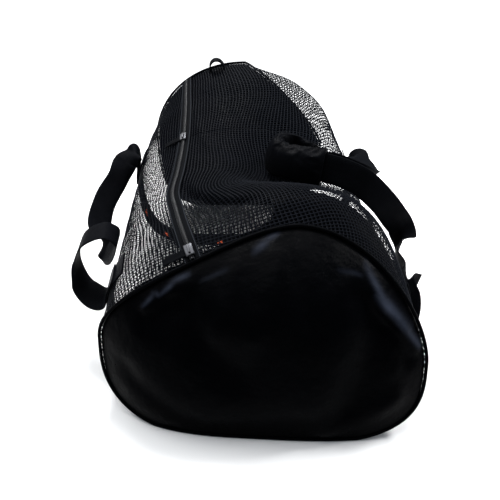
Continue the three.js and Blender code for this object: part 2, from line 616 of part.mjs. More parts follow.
// A slider's pull, a tab of narrow webbing that lies on the mesh to one side
function addPull(name, at, side) {
  const start = SLIDER_WIDTH / 2 + SEAM_GAP;
  const lift = 2 * SEAM_GAP + TAPE_THICK;
  const strip = (height) => (row, step) => {
    const across = side * (start + row * PULL_LENGTH);
    const place = at + (step - 0.5) * PULL_WIDTH * atPerMillimetre(zipTurn(at), at);
    const turn = zipTurn(place) + across * turnPerMillimetre(zipTurn(place), place);
    return liftedPoint(turn, place, height);
  };
  addSlab(name, gridOf(PULL_STEPS, 1, strip(lift + PULL_THICK)), gridOf(PULL_STEPS, 1, strip(lift)), WEBBING_FINISH);
}

// The grab loop that stands on the far end's top
function addEndLoop() {
  const turn = turnAcross(LOOP_ACROSS, 1);
  const at = 1 - seamInset(turn, 1) - (LOOP_WIDTH / 2) * atPerMillimetre(turn, 1);
  const up = bodyNormal(turn, at);
  const along = new THREE.Vector3(0, 1, 0).projectOnPlane(up).normalize();
  const right = along.clone().cross(up);
  const arch = (thick) => (row, step) => {
    const angle = Math.PI * row;
    const point = liftedPoint(turn, at, LOOP_SEAT);
    point.addScaledVector(right, -(LOOP_SPAN / 2 + thick) * Math.cos(angle));
    point.addScaledVector(up, (LOOP_RISE + thick) * Math.sin(angle));
    return point.addScaledVector(along, (step - 0.5) * LOOP_WIDTH);
  };
  addSlab("end_loop", gridOf(LOOP_STEPS, 1, arch(0)), gridOf(LOOP_STEPS, 1, arch(-LOOP_THICK)), WEBBING_FINISH);
}

addMeshBody();
addNearPanel();
addFarPanel();
addPiping("piping_near", 0);
addPiping("piping_far", 1);
addZipTape("zip_tape_left", -1);
addZipTape("zip_tape_right", 1);
addZipCoil();
addSlider("zip_slider_near", NEAR_SLIDER_AT);
addSlider("zip_slider_far", FAR_SLIDER_AT);
addPull("zip_pull_near", NEAR_SLIDER_AT, -1);
addPull("zip_pull_far", FAR_SLIDER_AT, -1);
addGirthStrap("girth_strap_near", NEAR_GIRTH_AT);
addGirthStrap("girth_strap_far", FAR_GIRTH_AT);
addHandle("handle_left", LEFT_HANDLE);
addHandle("handle_right", RIGHT_HANDLE);
addWrap("handle_wrap", RIGHT_HANDLE);
addEndLoop();

// The origin is at the middle of the whole bag's footprint, on the floor
group.updateMatrixWorld(true);
const whole = new THREE.Box3().setFromObject(group);
const centre = whole.getCenter(new THREE.Vector3());
group.position.set(-centre.x, -centre.y, -whole.min.z);

export default group;
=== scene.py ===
# A mesh duffel bag for dive gear, zipped shut and standing slumped on a pale studio floor.
# Lengths are in millimetres, in the bag's own coordinates: x across, y along, z up.
import math

import bmesh
import bpy
import numpy as np
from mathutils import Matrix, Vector


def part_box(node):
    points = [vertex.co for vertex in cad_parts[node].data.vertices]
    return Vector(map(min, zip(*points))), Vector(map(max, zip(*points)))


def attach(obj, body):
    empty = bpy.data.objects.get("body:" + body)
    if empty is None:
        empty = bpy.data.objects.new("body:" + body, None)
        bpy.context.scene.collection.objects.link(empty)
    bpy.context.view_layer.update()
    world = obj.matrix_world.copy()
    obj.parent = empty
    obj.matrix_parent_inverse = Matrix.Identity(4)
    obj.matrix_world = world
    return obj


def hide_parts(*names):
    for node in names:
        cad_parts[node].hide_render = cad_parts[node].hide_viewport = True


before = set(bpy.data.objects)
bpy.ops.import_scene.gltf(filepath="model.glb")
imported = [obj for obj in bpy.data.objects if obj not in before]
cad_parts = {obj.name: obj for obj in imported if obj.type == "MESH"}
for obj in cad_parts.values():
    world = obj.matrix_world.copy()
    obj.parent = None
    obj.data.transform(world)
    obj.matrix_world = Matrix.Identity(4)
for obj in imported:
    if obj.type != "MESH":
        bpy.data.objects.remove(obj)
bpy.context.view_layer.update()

MM = 0.001
STEP = 1e-3
SMALL = 1e-4
JOIN_DISTANCE = 1e-6

# Driving sizes, the same as the construction's but for TUCK_TURN, TUCK_SPREAD and TUCK_SKEW. The scene's
# tuck lies further right, so that the light crescent of net beside the zip shows as in the photo.
BAG_LENGTH = 724
HALF_WIDTH = 240
BAG_HEIGHT = 374
MESH_WALL = 1.6
PANEL_WALL = 1.6
SEAM_GAP = 0.4
STATIONS = 48
WEBBING_WIDTH = 50
WEBBING_THICK = 2.4
LEAN_SLOPE = 0.3
LEAN_TOP = 100
LEAN_TOP_POWER = 4
LEAN_LEFT = 60
LEAN_RIGHT = 24
LEAN_SIDE_POWER = 3
LEAN_FADE = 2
NEAR_SKEW = 14
BOTTOM_SQUARE = 3.6
FLAT_SHARE = 1.06
SLOT_WIDTH = 9
COIL_WIDTH = 7
COIL_HEIGHT = 2.6
TAPE_WIDTH = 13
TAPE_THICK = 1
TAPE_PART = 1.2
SLIDER_WIDTH = 13
SLIDER_LENGTH = 20
SLIDER_WALL = 2
SLIDER_GAP = 0.6
SLIDER_SEAT = 0.3
NEAR_SLIDER_AT = 0.04
FAR_SLIDER_AT = 0.685
PULL_LENGTH = 36
PULL_WIDTH = 14
PULL_THICK = 2
PIPING_RADIUS = 2.6
PIPING_GAP = 0.6
PANEL_INSET = PIPING_RADIUS + PIPING_GAP
PANEL_MIDDLE_ACROSS = 0.05
PANEL_MIDDLE_UP = 0.28
PANEL_FLAP_POWER = 4
NEAR_BULGE = 12
FAR_BULGE = 8
FAR_MIDDLE_UP = 0.5
TUCK_TURN = 0.085
TUCK_SPREAD = 0.085
TUCK_SKEW = 0.07
TUCK_HEM = 10
TUCK_REACH = 0.2
TUCK_DROP = 6
NEAR_GIRTH_AT = 0.15
FAR_GIRTH_AT = 0.75
STRAP_END = 9
HANDLE_STEPS = 64
WRAP_GAP = 1.6
WRAP_SIDE_PAD = 7
WRAP_FACE_PAD = 11
WRAP_TAPER = 0.5
WRAP_FIRST_STEP = 21
WRAP_STEPS = 17
LOOP_ACROSS = -0.34
LOOP_SPAN = 36
LOOP_RISE = 22
LOOP_WIDTH = 16
LOOP_THICK = 3
LOOP_SEAT = 0.5

# Panels and the search for a turn, as in the construction
TOP_TURN = 0.24
HALVINGS = 30
CREASE_FADE = 6

# The net. Its columns are spread evenly, which makes cells of about 6.3 mm round the bag. NET_CELL_WIDTH
# gives only the declared flat width, about 15 % less than the net measures.
NET_PITCH = 5.6
NET_AROUND = 204
NET_STRAND = 2.2
NET_THICK = 0.9
NET_BANDS = 3
NET_DRIFT = 1.4
NET_JITTER = 0.3
NET_RIPPLE = 0.7
NET_SPARE_LENGTH = 1.15
NET_SEED = 7
NET_FOLD_BEND = 0.08
NET_FOLD_END = 0.08
NET_FAR_FADE = 0.05
NET_NEAR_FADE = 0.06
RIPPLE_FROM = 0.25
RIPPLE_FADE = 0.1

# The sizes of what else only the scene holds
# Painted light: how much paler the far panel's cloth is painted all over than the near one
FAR_PAINTED_LIGHT = 0.14
# How the painted highlights on the panels' folds taper towards their ends
HIGHLIGHT_TAPER = 0.6
FOLD_FADE = 24
TOOTH_PITCH = 2.4
TOOTH_REACH = 0.94
TOOTH_FLAT = 0.55
TOOTH_RADIUS = 0.42 * TOOTH_PITCH
TOOTH_BASE = 0.3
TOOTH_SINK = 0.8
CHEEK_RISE = 0.6
BRIDGE_HALF = 1.6
BRIDGE_SINK = 0.4
BRIDGE_LOW = 1.6
BRIDGE_HIGH = 3.0
POST_RISE = 2.6
POST_IN = 0.5
POST_OUT = 0.7
ROUND_BODY = 0.9
ROUND_CHEEK = 0.6
ROUND_BRIDGE = 0.5
GRIP_PRESSURE = 4
GRIP_FRAMES = 20
GRIP_CAP = 5
GRIP_TENSION = 12
GRIP_BENDING = 0.08
GRIP_SHRINK = -0.04
STITCH_PITCH = 0.0036
STITCH_HALF = 0.0005
STITCH_SHARE = 0.3
TAPE_STITCH = 0.0045
GIRTH_STITCH = 0.0215
BARTACK_SIZE = 12
BARTACK_WIDTH = 3
BARTACK_LIFT = 0.8
BARTACK_THREAD = 0.75
BARTACK_STEPS = 23
BARTACK_SLANT = 0.7
ANCHOR_THREAD = 0.35
ANCHOR_SHARE = 0.32
ANCHOR_INSET = 5
ANCHOR_LIFT = 0.1
ANCHOR_STEPS = 12
ANCHOR_PLACES = (0.012, 0.988)
THREAD_SIDES = 5

# Studio lights: name, kind, place in metres, size in metres or spread in radians, and power
STUDIO_LIGHTS = (
    ("soft_sky", "SUN", (-0.7, 1.2, 2.4), 1.2, 3.6),
    ("top_strip", "AREA", (-0.3, 0.75, 1.5), 0.45, 34),
    ("right_strip", "AREA", (1.1, 0.2, 1.1), 0.35, 22),
)
LIGHT_AIM = (0, 0, 0.1)
SKY_COLOUR = (0.85, 0.92, 1.0)
SKY_STRENGTH = 0.3

# The photo's camera: in metres, millimetres of lens and degrees below the horizon
CAMERA_PLACE = (0.0066, -0.7588, 0.6)
CAMERA_LENS = 32.4
CAMERA_SENSOR = 36
CAMERA_PITCH = 33.9

# Cross-sections along the bag: at, left, right, top, ridge, belly, square, square_right and zip
SECTIONS = np.array([
    (0.0, 0.96, 1.05, 0.69, 0.3, 0.28, 1.75, 1.75, -0.34),
    (0.12, 0.96, 1.03, 0.77, 0.3, 0.3, 1.85, 1.85, -0.42),
    (0.25, 0.98, 1.01, 0.76, 0.24, 0.32, 2, 2, -0.5),
    (0.38, 1.0, 0.98, 0.72, 0.14, 0.35, 2, 2, -0.57),
    (0.52, 1.03, 0.96, 0.72, 0.06, 0.37, 2, 2, -0.57),
    (0.68, 1.04, 0.95, 0.78, 0.02, 0.4, 2, 2, -0.57),
    (0.84, 1.04, 0.9, 0.89, 0.02, 0.44, 2, 2, -0.59),
    (0.92, 1.02, 0.84, 0.965, 0.08, 0.46, 2, 2, -0.61),
    (1.0, 0.99, 0.75, 1.0, -0.05, 0.48, 2, 1.2, -0.63),
])
COLUMNS = ("at", "left", "right", "top", "ridge", "belly", "square", "square_right", "zip")

# Dents in the slack top: across, along, wide, long and deep
DENTS = (
    (0.3, 0.57, 0.42, 0.14, 0.1),
    (-0.35, 0.3, 0.3, 0.1, 0.03),
)

# Creases of the end panels: across and up of one end, then of the other, wide and deep
NEAR_CREASES = (
    (-0.5, 0.52, -0.1, 0.3, 0.12, 0.03),
    (0.75, 0.5, 0.6, 0.15, 0.12, 0.035),
    (-0.6, 0.12, 0.3, 0.2, 0.2, -0.02),
)
FAR_CREASES = (
    (-0.5, 0.8, -0.15, 0.05, 0.1, 0.03),
    (-0.25, 0.55, 0.1, 0.15, 0.08, 0.02),
    (-0.45, 0.9, 0.3, 0.85, 0.09, 0.02),
)

# Where the red bartacks show on the far girth strap's inside: turn and at
BARTACKS = ((0.681, 0.726), (0.624, 0.731), (0.545, 0.724))

# Finer folds that only the scene holds, in the creases' columns
NEAR_FOLDS = (
    (-0.63, 0.48, -0.47, 0.54, 0.04, -0.018),
    (-0.47, 0.54, -0.36, 0.57, 0.04, -0.016),
    (-0.62, 0.42, -0.34, 0.51, 0.05, 0.016),
    (0.68, 0.6, 0.77, 0.51, 0.05, -0.02),
    (0.77, 0.51, 0.89, 0.45, 0.05, -0.02),
    (0.89, 0.45, 0.99, 0.37, 0.05, -0.02),
    (0.6, 0.54, 0.8, 0.42, 0.05, 0.018),
    (0.8, 0.42, 0.92, 0.32, 0.05, 0.014),
    (0.16, 0.63, 0.02, 0.44, 0.06, -0.012),
    (0.26, 0.62, 0.36, 0.46, 0.05, 0.012),
    (-0.1, 0.6, -0.2, 0.42, 0.05, -0.01),
    (-0.75, 0.22, -0.35, 0.08, 0.07, 0.014),
    (0.45, 0.06, 0.86, 0.18, 0.07, -0.014),
    (-0.2, 0.05, 0.3, 0.1, 0.08, 0.01),
)
FAR_FOLDS = (
    (-0.6, 0.71, -0.42, 0.51, 0.05, 0.02),
    (-0.42, 0.51, -0.27, 0.05, 0.05, 0.022),
    (-0.35, 0.47, -0.09, 0.22, 0.05, 0.016),
    (-0.56, 0.92, -0.03, 0.85, 0.05, 0.014),
)

# Painted highlights on the panels' folds: the cloth is painted paler where light catches the folds, in the
# creases' columns with the strength last
PAINTED_FOLD_HIGHLIGHTS = {
    "near": (
        (-0.65, 0.465, -0.56, 0.515, 0.009, 0.45),
        (-0.59, 0.51, -0.515, 0.512, 0.008, 0.4),
        (-0.545, 0.505, -0.445, 0.555, 0.009, 0.45),
        (-0.47, 0.55, -0.35, 0.575, 0.008, 0.4),
        (0.01, 0.635, 0.12, 0.665, 0.011, 0.45),
        (0.08, 0.66, 0.19, 0.68, 0.008, 0.45),
        (0.67, 0.62, 0.82, 0.48, 0.016, 0.55),
        (0.72, 0.55, 0.94, 0.415, 0.022, 0.9),
        (0.84, 0.48, 1.01, 0.35, 0.017, 0.6),
        (-0.3, 0.56, -0.12, 0.6, 0.007, 0.2),
        (0.5, 0.61, 0.66, 0.59, 0.008, 0.2),
    ),
    "far": (
        (-0.62, 0.74, -0.4, 0.48, 0.01, 0.25),
        (-0.45, 0.55, -0.25, 0.03, 0.01, 0.3),
        (-0.35, 0.47, -0.09, 0.22, 0.01, 0.2),
        (-0.56, 0.92, -0.03, 0.85, 0.01, 0.2),
    ),
}

# Folds that sink into the net: from a turn and at, to a turn and at, wide and deep in millimetres
NET_FOLDS = (
    (-0.215, 0.7, -0.14, 0.46, 16, 5),
    (-0.235, 0.66, -0.2, 0.3, 18, 4),
    (-0.19, 0.3, -0.25, 0.12, 14, 5),
    (-0.16, 0.34, -0.12, 0.2, 12, 4),
    (-0.05, 0.92, 0.02, 0.66, 18, 4),
    (0.01, 0.8, 0.08, 0.62, 16, 5),
    (0.09, 0.9, 0.17, 0.7, 20, 5),
    (0.2, 0.72, 0.15, 0.5, 18, 5),
    (0.18, 0.44, 0.24, 0.24, 16, 4),
    (-0.06, 0.5, 0.06, 0.4, 22, 4),
    (0.28, 0.66, 0.24, 0.42, 22, 4),
    (-0.29, 0.62, -0.27, 0.4, 22, 4),
    (-0.1, 0.42, -0.084, 0.27, 9, 12),
    (-0.088, 0.31, -0.062, 0.165, 9, 12),
    (-0.068, 0.2, -0.038, 0.13, 8, 8),
    (-0.091, 0.86, -0.041, 0.52, 7, -4),
    (-0.044, 0.56, -0.06, 0.27, 7, -4),
    (-0.148, 0.34, -0.166, 0.11, 7, 6),
    (-0.19, 0.52, -0.135, 0.4, 7, 6),
    (-0.01, 0.44, 0.09, 0.36, 8, 6),
)

# The handles from their far anchor to their near one: at, turn, lift, and the way the width lies
LEFT_HANDLE = (
    (0.75, -0.25, 0, 1, 0, 0),
    (0.75, -0.229, 0, 1, 0, 0),
    (0.75, -0.208, 0.014, 1, 0, 0),
    (0.745, -0.19, 0.075, 1, 0, 0),
    (0.715, -0.203, 0.125, 0.8, 0.4, 0.4),
    (0.655, -0.221, 0.15, 0.2, 0.7, 0.7),
    (0.57, -0.236, 0.2, 0.1, 0.7, 0.7),
    (0.47, -0.25, 0.2, 0.5, 0.6, 0.6),
    (0.385, -0.26, 0.11, 1, 0.2, 0.2),
    (0.325, -0.24, 0.03, 1, 0, 0),
    (0.295, -0.2, 0.04, 1, 0, 0),
    (0.285, -0.196, 0.14, 1, 0, 0),
    (0.275, -0.213, 0.24, 1, 0, 0),
    (0.26, -0.235, 0.26, 1, 0, 0),
    (0.225, -0.253, 0.21, 1, 0, 0),
    (0.18, -0.263, 0.1, 1, 0, 0),
    (0.153, -0.25, 0.015, 1, 0, 0),
    (0.15, -0.229, 0, 1, 0, 0),
    (0.15, -0.208, 0, 1, 0, 0),
)
RIGHT_HANDLE = (
    (0.75, 0.25, 0, 1, 0, 0),
    (0.75, 0.229, 0, 1, 0, 0),
    (0.75, 0.208, 0.024, 1, 0, 0),
    (0.72, 0.187, 0.085, 0.8, 0.5, 0.2),
    (0.62, 0.18, 0.12, 0.2, 0.6, 0.75),
    (0.52, 0.165, 0.14, 0.1, 0.1, 1),
    (0.46, 0.135, 0.14, 0, 0, 1),
    (0.46, 0.1, 0.14, 0, 0, 1),
    (0.5, 0.08, 0.14, 0, 0, 1),
    (0.56, 0.066, 0.14, 0, 0, 1),
    (0.59, 0.045, 0.14, 0, 0, 1),
    (0.57, 0.024, 0.14, 0, 0, 1),
    (0.51, 0.015, 0.14, 0, 0, 1),
    (0.45, 0.02, 0.135, 0, 0, 1),
    (0.4, 0.038, 0.13, 0, 0, 1),
    (0.37, 0.07, 0.13, 0, 0, 1),
    (0.36, 0.11, 0.125, 0, 0, 1),
    (0.365, 0.15, 0.12, 0.2, 0, 1),
    (0.385, 0.19, 0.14, 0.2, -0.1, 1),
    (0.4, 0.225, 0.19, 0.3, -0.5, 0.8),
    (0.36, 0.24, 0.12, 0.4, -0.9, 0.3),
    (0.3, 0.235, 0.065, 0.6, -0.8, 0),
    (0.22, 0.225, 0.048, 1, -0.2, 0),
    (0.175, 0.235, 0.042, 1, 0, 0),
    (0.15, 0.25, 0.02, 1, 0, 0),
    (0.15, 0.271, 0.005, 1, 0, 0),
)


def column(name, at):
    rows = SECTIONS
    values = rows[:, COLUMNS.index(name)]
    places = rows[:, 0]
    last = len(rows) - 1
    i = np.clip(np.searchsorted(places, at, side="left") - 1, 0, last - 1)
    slopes = np.empty(last + 1)
    for k in range(last + 1):
        a = max(0, k - 1)
        b = min(last, k + 1)
        slopes[k] = (values[b] - values[a]) / (places[b] - places[a])
    span = places[i + 1] - places[i]
    t = np.clip((at - places[i]) / span, 0, 1)
    t2 = t * t
    t3 = t2 * t
    first = (2 * t3 - 3 * t2 + 1) * values[i] + (t3 - 2 * t2 + t) * span * slopes[i]
    return first + (3 * t2 - 2 * t3) * values[i + 1] + (t3 - t2) * span * slopes[i + 1]


def section_point(turn, at):
    turn, at = np.broadcast_arrays(np.asarray(turn, float), np.asarray(at, float))
    s = np.sin(2 * np.pi * turn)
    c = np.cos(2 * np.pi * turn)
    upper_square = np.where(s >= 0, column("square_right", at), column("square", at))
    n = np.where(c >= 0, upper_square, BOTTOM_SQUARE)
    reach = (np.abs(s) ** n + np.abs(c) ** n) ** (-1 / n)
    half = HALF_WIDTH * np.where(s >= 0, column("right", at), column("left", at))
    belly = BAG_HEIGHT * column("belly", at)
    up = c * reach
    x = half * s * reach + HALF_WIDTH * column("ridge", at) * np.maximum(0, up) ** 2
    high = belly + (BAG_HEIGHT * column("top", at) - belly) * up
    z = np.where(up >= 0, high, np.maximum(0, belly * (1 + FLAT_SHARE * up)))
    return np.stack([x, BAG_LENGTH * at, z], -1)


def near_lean(turn):
    p = section_point(turn, 0.0)
    high = p[..., 2] / (BAG_HEIGHT * SECTIONS[0, 3])
    across = p[..., 0] / HALF_WIDTH
    side = np.where(p[..., 0] < 0, LEAN_LEFT, LEAN_RIGHT) * np.abs(across) ** LEAN_SIDE_POWER
    return LEAN_SLOPE * p[..., 2] + LEAN_TOP * high**LEAN_TOP_POWER + side - NEAR_SKEW * across


def body_point(turn, at):
    p = section_point(turn, at)
    p[..., 1] += near_lean(turn) * (1 - np.asarray(at)) ** LEAN_FADE
    upper = np.maximum(0, np.cos(2 * np.pi * np.asarray(turn)))
    for across, along, wide, long, deep in DENTS:
        dx = (p[..., 0] / HALF_WIDTH - across) / wide
        dy = (p[..., 1] / BAG_LENGTH - along) / long
        p[..., 2] -= BAG_HEIGHT * deep * np.minimum(1, 2 * upper) * np.exp(-dx * dx - dy * dy)
    p[..., 2] += WEBBING_THICK + SEAM_GAP
    return p


def unit(v):
    return v / np.linalg.norm(v, axis=-1, keepdims=True)


def body_normal(turn, at):
    turn = np.asarray(turn, float)
    at = np.asarray(at, float)
    along = body_point(turn, np.minimum(1, at + STEP)) - body_point(turn, np.maximum(0, at - STEP))
    around = body_point(turn + STEP, at) - body_point(turn - STEP, at)
    return unit(np.cross(around, along))


def lifted(turn, at, lift):
    return body_point(turn, at) + body_normal(turn, at) * np.asarray(lift)[..., None]


def turn_per_mm(turn, at):
    away = body_point(np.asarray(turn) + STEP, at) - body_point(np.asarray(turn) - STEP, at)
    return 2 * STEP / np.linalg.norm(away, axis=-1)


def at_per_mm(turn, at):
    inside = np.clip(at, STEP, 1 - STEP)
    away = body_point(turn, inside + STEP) - body_point(turn, inside - STEP)
    return 2 * STEP / np.linalg.norm(away, axis=-1)


def turn_across(share, at):
    at = np.asarray(at, float)
    low = np.full(at.shape, -TOP_TURN)
    high = np.full(at.shape, TOP_TURN)
    for _ in range(HALVINGS):
        middle = (low + high) / 2
        under = body_point(middle, at)[..., 0] < share * HALF_WIDTH
        low = np.where(under, middle, low)
        high = np.where(under, high, middle)
    return low


def zip_turn(at):
    at = np.asarray(at, float)
    return turn_across(column("zip", np.clip(at, 0, 1)), np.clip(at, 0, 1))


def seam_inset(turn, at):
    return PANEL_INSET * at_per_mm(turn, at)


# Points, frames and meshes
def link_object(name, data):
    obj = bpy.data.objects.new(name, data)
    bpy.context.scene.collection.objects.link(obj)
    return obj


def shift_to_frame():
    turn = np.arange(STATIONS + 1) / STATIONS
    out = body_normal(turn, 1.0)
    out[:, 1] = 0
    ring = body_point(turn, 1.0) + PIPING_RADIUS * unit(out)
    corner = np.array([ring[:, 0].min(), BAG_LENGTH, ring[:, 2].min()]) * MM
    low, high = (np.array(side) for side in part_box("piping_far"))
    return np.array([low[0] - corner[0], (low[1] + high[1]) / 2 - corner[1], low[2] - corner[2]])


SHIFT = shift_to_frame()


def add_mesh(name, points, faces, uvs, material, node, sharp=None):
    """points in the bag's millimetres, faces as rows of corners, uvs a pair for each face corner or None"""
    mesh = bpy.data.meshes.new(name)
    mesh.from_pydata(points * MM + SHIFT, [], faces)
    layer = mesh.uv_layers.new(name="uv")
    if uvs is None:
        uvs = np.zeros((len(mesh.loops), 2))
    layer.data.foreach_set("uv", np.asarray(uvs, np.float32).ravel())
    mesh.materials.append(material)
    mesh.shade_smooth()
    if sharp:
        mesh.set_sharp_from_angle(angle=math.radians(sharp))
    obj = link_object(name, mesh)
    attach(obj, "root")
    if node:
        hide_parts(node)
    return obj


def grid_faces(rows, steps):
    i = np.arange(rows - 1)[:, None] * steps + np.arange(steps - 1)[None, :]
    return np.stack([i, i + 1, i + steps + 1, i + steps], -1).reshape(-1, 4)


def add_sheet(name, grid, uv, material, node, thick, loops=False):
    """A sheet from a grid of points, given its thickness to the side away from its normals"""
    rows, steps = grid.shape[:2]
    faces = grid_faces(rows, steps)
    points = grid.reshape(-1, 3)
    corners = uv.reshape(-1, 2)[faces.ravel()]
    if loops:
        merged = np.arange(rows * steps)
        last = merged % steps == steps - 1
        merged[last] -= steps - 1
        faces = merged[faces]
    obj = add_mesh(name, points, faces.tolist(), corners, material, node)
    clean_grid(obj)
    wall = obj.modifiers.new("wall", "SOLIDIFY")
    wall.thickness = thick * MM
    wall.offset = -1
    return obj


def edit_mesh(obj, change):
    made = bmesh.new()
    made.from_mesh(obj.data)
    change(made)
    made.to_mesh(obj.data)
    made.free()


def clean_grid(obj):
    """Joins the points that share a place, such as a panel's middle, and drops those that nothing uses"""
    def change(made):
        bmesh.ops.remove_doubles(made, verts=made.verts, dist=JOIN_DISTANCE)
        loose = [v for v in made.verts if not v.link_faces]
        bmesh.ops.delete(made, geom=loose, context="VERTS")

    edit_mesh(obj, change)


def face_out(obj):
    edit_mesh(obj, lambda made: bmesh.ops.recalc_face_normals(made, faces=made.faces))


def tube_faces(rings, sides, start=0, closed=False):
    i = np.arange(rings if closed else rings - 1)[:, None]
    j = np.arange(sides)[None, :]
    here, after = start + i * sides, start + (i + 1) % rings * sides
    step = (j + 1) % sides
    return np.stack([here + j, here + step, after + step, after + j], -1).reshape(-1, 4)


def end_faces(rings, sides, start=0):
    last = start + (rings - 1) * sides
    return [list(range(start, start + sides))[::-1], list(range(last, last + sides))]


def add_sweep(name, grid, uv_across, uv_along, material, node, sharp=50, closed=False):
    """A closed body from rings of points: grid is rings by ring points by 3"""
    rings, count = grid.shape[:2]
    faces = tube_faces(rings, count, closed=closed).tolist()
    i = np.arange(rings if closed else rings - 1)[:, None]
    j = np.arange(count)[None, :]
    across = np.append(uv_across, uv_across[0])
    along = np.append(uv_along, uv_along[-1] + (uv_along[-1] - uv_along[-2]))
    shape = (len(i), count)
    corners = np.stack([
        np.stack([np.broadcast_to(across[j + right], shape), np.broadcast_to(along[i + on], shape)], -1)
        for right, on in ((0, 0), (1, 0), (1, 1), (0, 1))
    ], 2).reshape(-1, 2)
    if not closed:
        faces += end_faces(rings, count)
        ends = np.stack([uv_across, np.full(count, uv_along[0])], -1)
        corners = np.concatenate([corners, ends[::-1], ends])
    obj = add_mesh(name, grid.reshape(-1, 3), faces, corners, material, node, sharp)
    face_out(obj)
    return obj


def add_tubes(name, tubes, material, node):
    """Closed tubes as one piece, each given as rings by sides by 3"""
    faces = []
    start = 0
    for tube in tubes:
        rings, sides = tube.shape[:2]
        faces += tube_faces(rings, sides, start).tolist() + end_faces(rings, sides, start)
        start += rings * sides
    points = np.concatenate([tube.reshape(-1, 3) for tube in tubes])
    face_out(add_mesh(name, points, faces, None, material, node))


def band_profile(width, thick, edge_steps=4, flat_steps=6):
    """The section of a webbing with round edges: points across and out"""
    radius = thick / 2
    half = width / 2 - radius
    flat = np.linspace(half, -half, flat_steps + 1)
    turns = np.linspace(0, math.pi, edge_steps + 1)[1:-1]
    top = np.stack([flat, np.full_like(flat, radius)], -1)
    left = np.stack([-half - radius * np.sin(turns), radius * np.cos(turns)], -1)
    low = np.stack([-flat, np.full_like(flat, -radius)], -1)
    right = np.stack([half + radius * np.sin(turns), -radius * np.cos(turns)], -1)
    return np.concatenate([top, left, low, right])


def lengths_along(points):
    steps = np.linalg.norm(np.diff(points, axis=0), axis=-1)
    return np.concatenate([[0], np.cumsum(steps)])


def catmull(points):
    """A centripetal curve through the points, as a function of its share from 0 to 1"""
    points = np.asarray(points)
    last = len(points) - 1
    before = np.concatenate([[2 * points[0] - points[1]], points])
    padded = np.concatenate([before, [2 * points[-1] - points[-2]]])

    def at(share):
        place = np.clip(np.asarray(share, float), 0, 1) * last
        i = np.minimum(last - 1, np.floor(place).astype(int))
        t = (place - i)[..., None]
        p0, p1, p2, p3 = (padded[i + k] for k in range(4))
        pairs = ((p0, p1), (p1, p2), (p2, p3))
        d0, d1, d2 = (np.linalg.norm(b - a, axis=-1, keepdims=True) ** 0.5 for a, b in pairs)
        d0 = np.where(d0 < SMALL, d1, d0)
        d2 = np.where(d2 < SMALL, d1, d2)
        m1 = ((p1 - p0) / d0 - (p2 - p0) / (d0 + d1) + (p2 - p1) / d1) * d1
        m2 = ((p2 - p1) / d1 - (p3 - p1) / (d1 + d2) + (p3 - p2) / d2) * d1
        c2 = -3 * p1 + 3 * p2 - 2 * m1 - m2
        c3 = 2 * p1 - 2 * p2 + m1 + m2
        return p1 + m1 * t + c2 * t**2 + c3 * t**3

    return at


def handle_run(rows):
    """The middle, and the directions of width and face, along a handle as a function of its share"""
    table = np.array(rows)
    at, turn, lift = table[:, 0], table[:, 1], table[:, 2]
    out = body_normal(turn, at)
    along = unit(body_point(turn, at + STEP) - body_point(turn, at - STEP))
    around = -np.cross(out, along)
    sides = unit(along * table[:, 3:4] + around * table[:, 4:5] + out * table[:, 5:6])
    base = 2 * SEAM_GAP + 1.5 * WEBBING_THICK
    curve = catmull(lifted(turn, at, base + lift * HALF_WIDTH))

    def run(share):
        share = np.asarray(share, float)
        place = share * (len(rows) - 1)
        i = np.minimum(len(rows) - 2, np.floor(place).astype(int))
        mix = np.clip(place - i, 0, 1)
        mix = (mix * mix * (3 - 2 * mix))[..., None]
        tangent = unit(curve(np.minimum(1, share + SMALL)) - curve(np.maximum(0, share - SMALL)))
        wide = sides[i] * (1 - mix) + sides[i + 1] * mix
        wide = unit(wide - tangent * (wide * tangent).sum(-1, keepdims=True))
        return curve(share), wide, np.cross(tangent, wide)

    return run


# Materials
NET_GLOSS = 0.015
WOVEN_GLOSS = 0.008
COIL_GLOSS = 0.2
COOL_TINT = (0.6, 0.65, 0.8)
STRAP_TINT = (0.55, 0.62, 0.8)
PALE_THREAD = (0.03, 0.034, 0.042)


def new_material(name, base, roughness, **settings):
    material = bpy.data.materials.new(name)
    material.use_nodes = True
    shader = material.node_tree.nodes["Principled BSDF"]
    shader.inputs["Base Color"].default_value = (*base, 1)
    shader.inputs["Roughness"].default_value = roughness
    for key, value in settings.items():
        shader.inputs[key.replace("_", " ").title().replace("Ior", "IOR")].default_value = value
    return material, material.node_tree, shader


def node(tree, kind, **settings):
    made = tree.nodes.new(kind)
    for key, value in settings.items():
        setattr(made, key, value)
    return made


def math_node(tree, operation, *values):
    made = node(tree, "ShaderNodeMath", operation=operation)
    for socket, value in zip(made.inputs, values):
        if isinstance(value, bpy.types.NodeSocket):
            tree.links.new(value, socket)
        else:
            socket.default_value = value
    return made.outputs[0]


def uv_axes(tree):
    uv = node(tree, "ShaderNodeUVMap", uv_map="uv")
    split = node(tree, "ShaderNodeSeparateXYZ")
    tree.links.new(uv.outputs[0], split.inputs[0])
    return split.outputs[0], split.outputs[1]


def object_place(tree):
    return node(tree, "ShaderNodeTexCoord").outputs["Object"]


def wave(tree, value, pitch):
    """A smooth wave from 0 to 1 of that pitch in metres"""
    turned = math_node(tree, "MULTIPLY", value, 2 * math.pi / pitch)
    return math_node(tree, "MULTIPLY_ADD", math_node(tree, "SINE", turned), 0.5, 0.5)


def noise(tree, vector, scale, detail=3.0):
    made = node(tree, "ShaderNodeTexNoise")
    made.inputs["Scale"].default_value = scale
    made.inputs["Detail"].default_value = detail
    tree.links.new(vector, made.inputs["Vector"])
    return made.outputs["Fac"]


def add_bump(tree, shader, height, distance, strength=1.0, before=None):
    made = node(tree, "ShaderNodeBump")
    made.inputs["Strength"].default_value = strength
    made.inputs["Distance"].default_value = distance
    tree.links.new(height, made.inputs["Height"])
    if before is not None:
        tree.links.new(before, made.inputs["Normal"])
    if shader is not None:
        tree.links.new(made.outputs[0], shader.inputs["Normal"])
    return made.outputs[0]


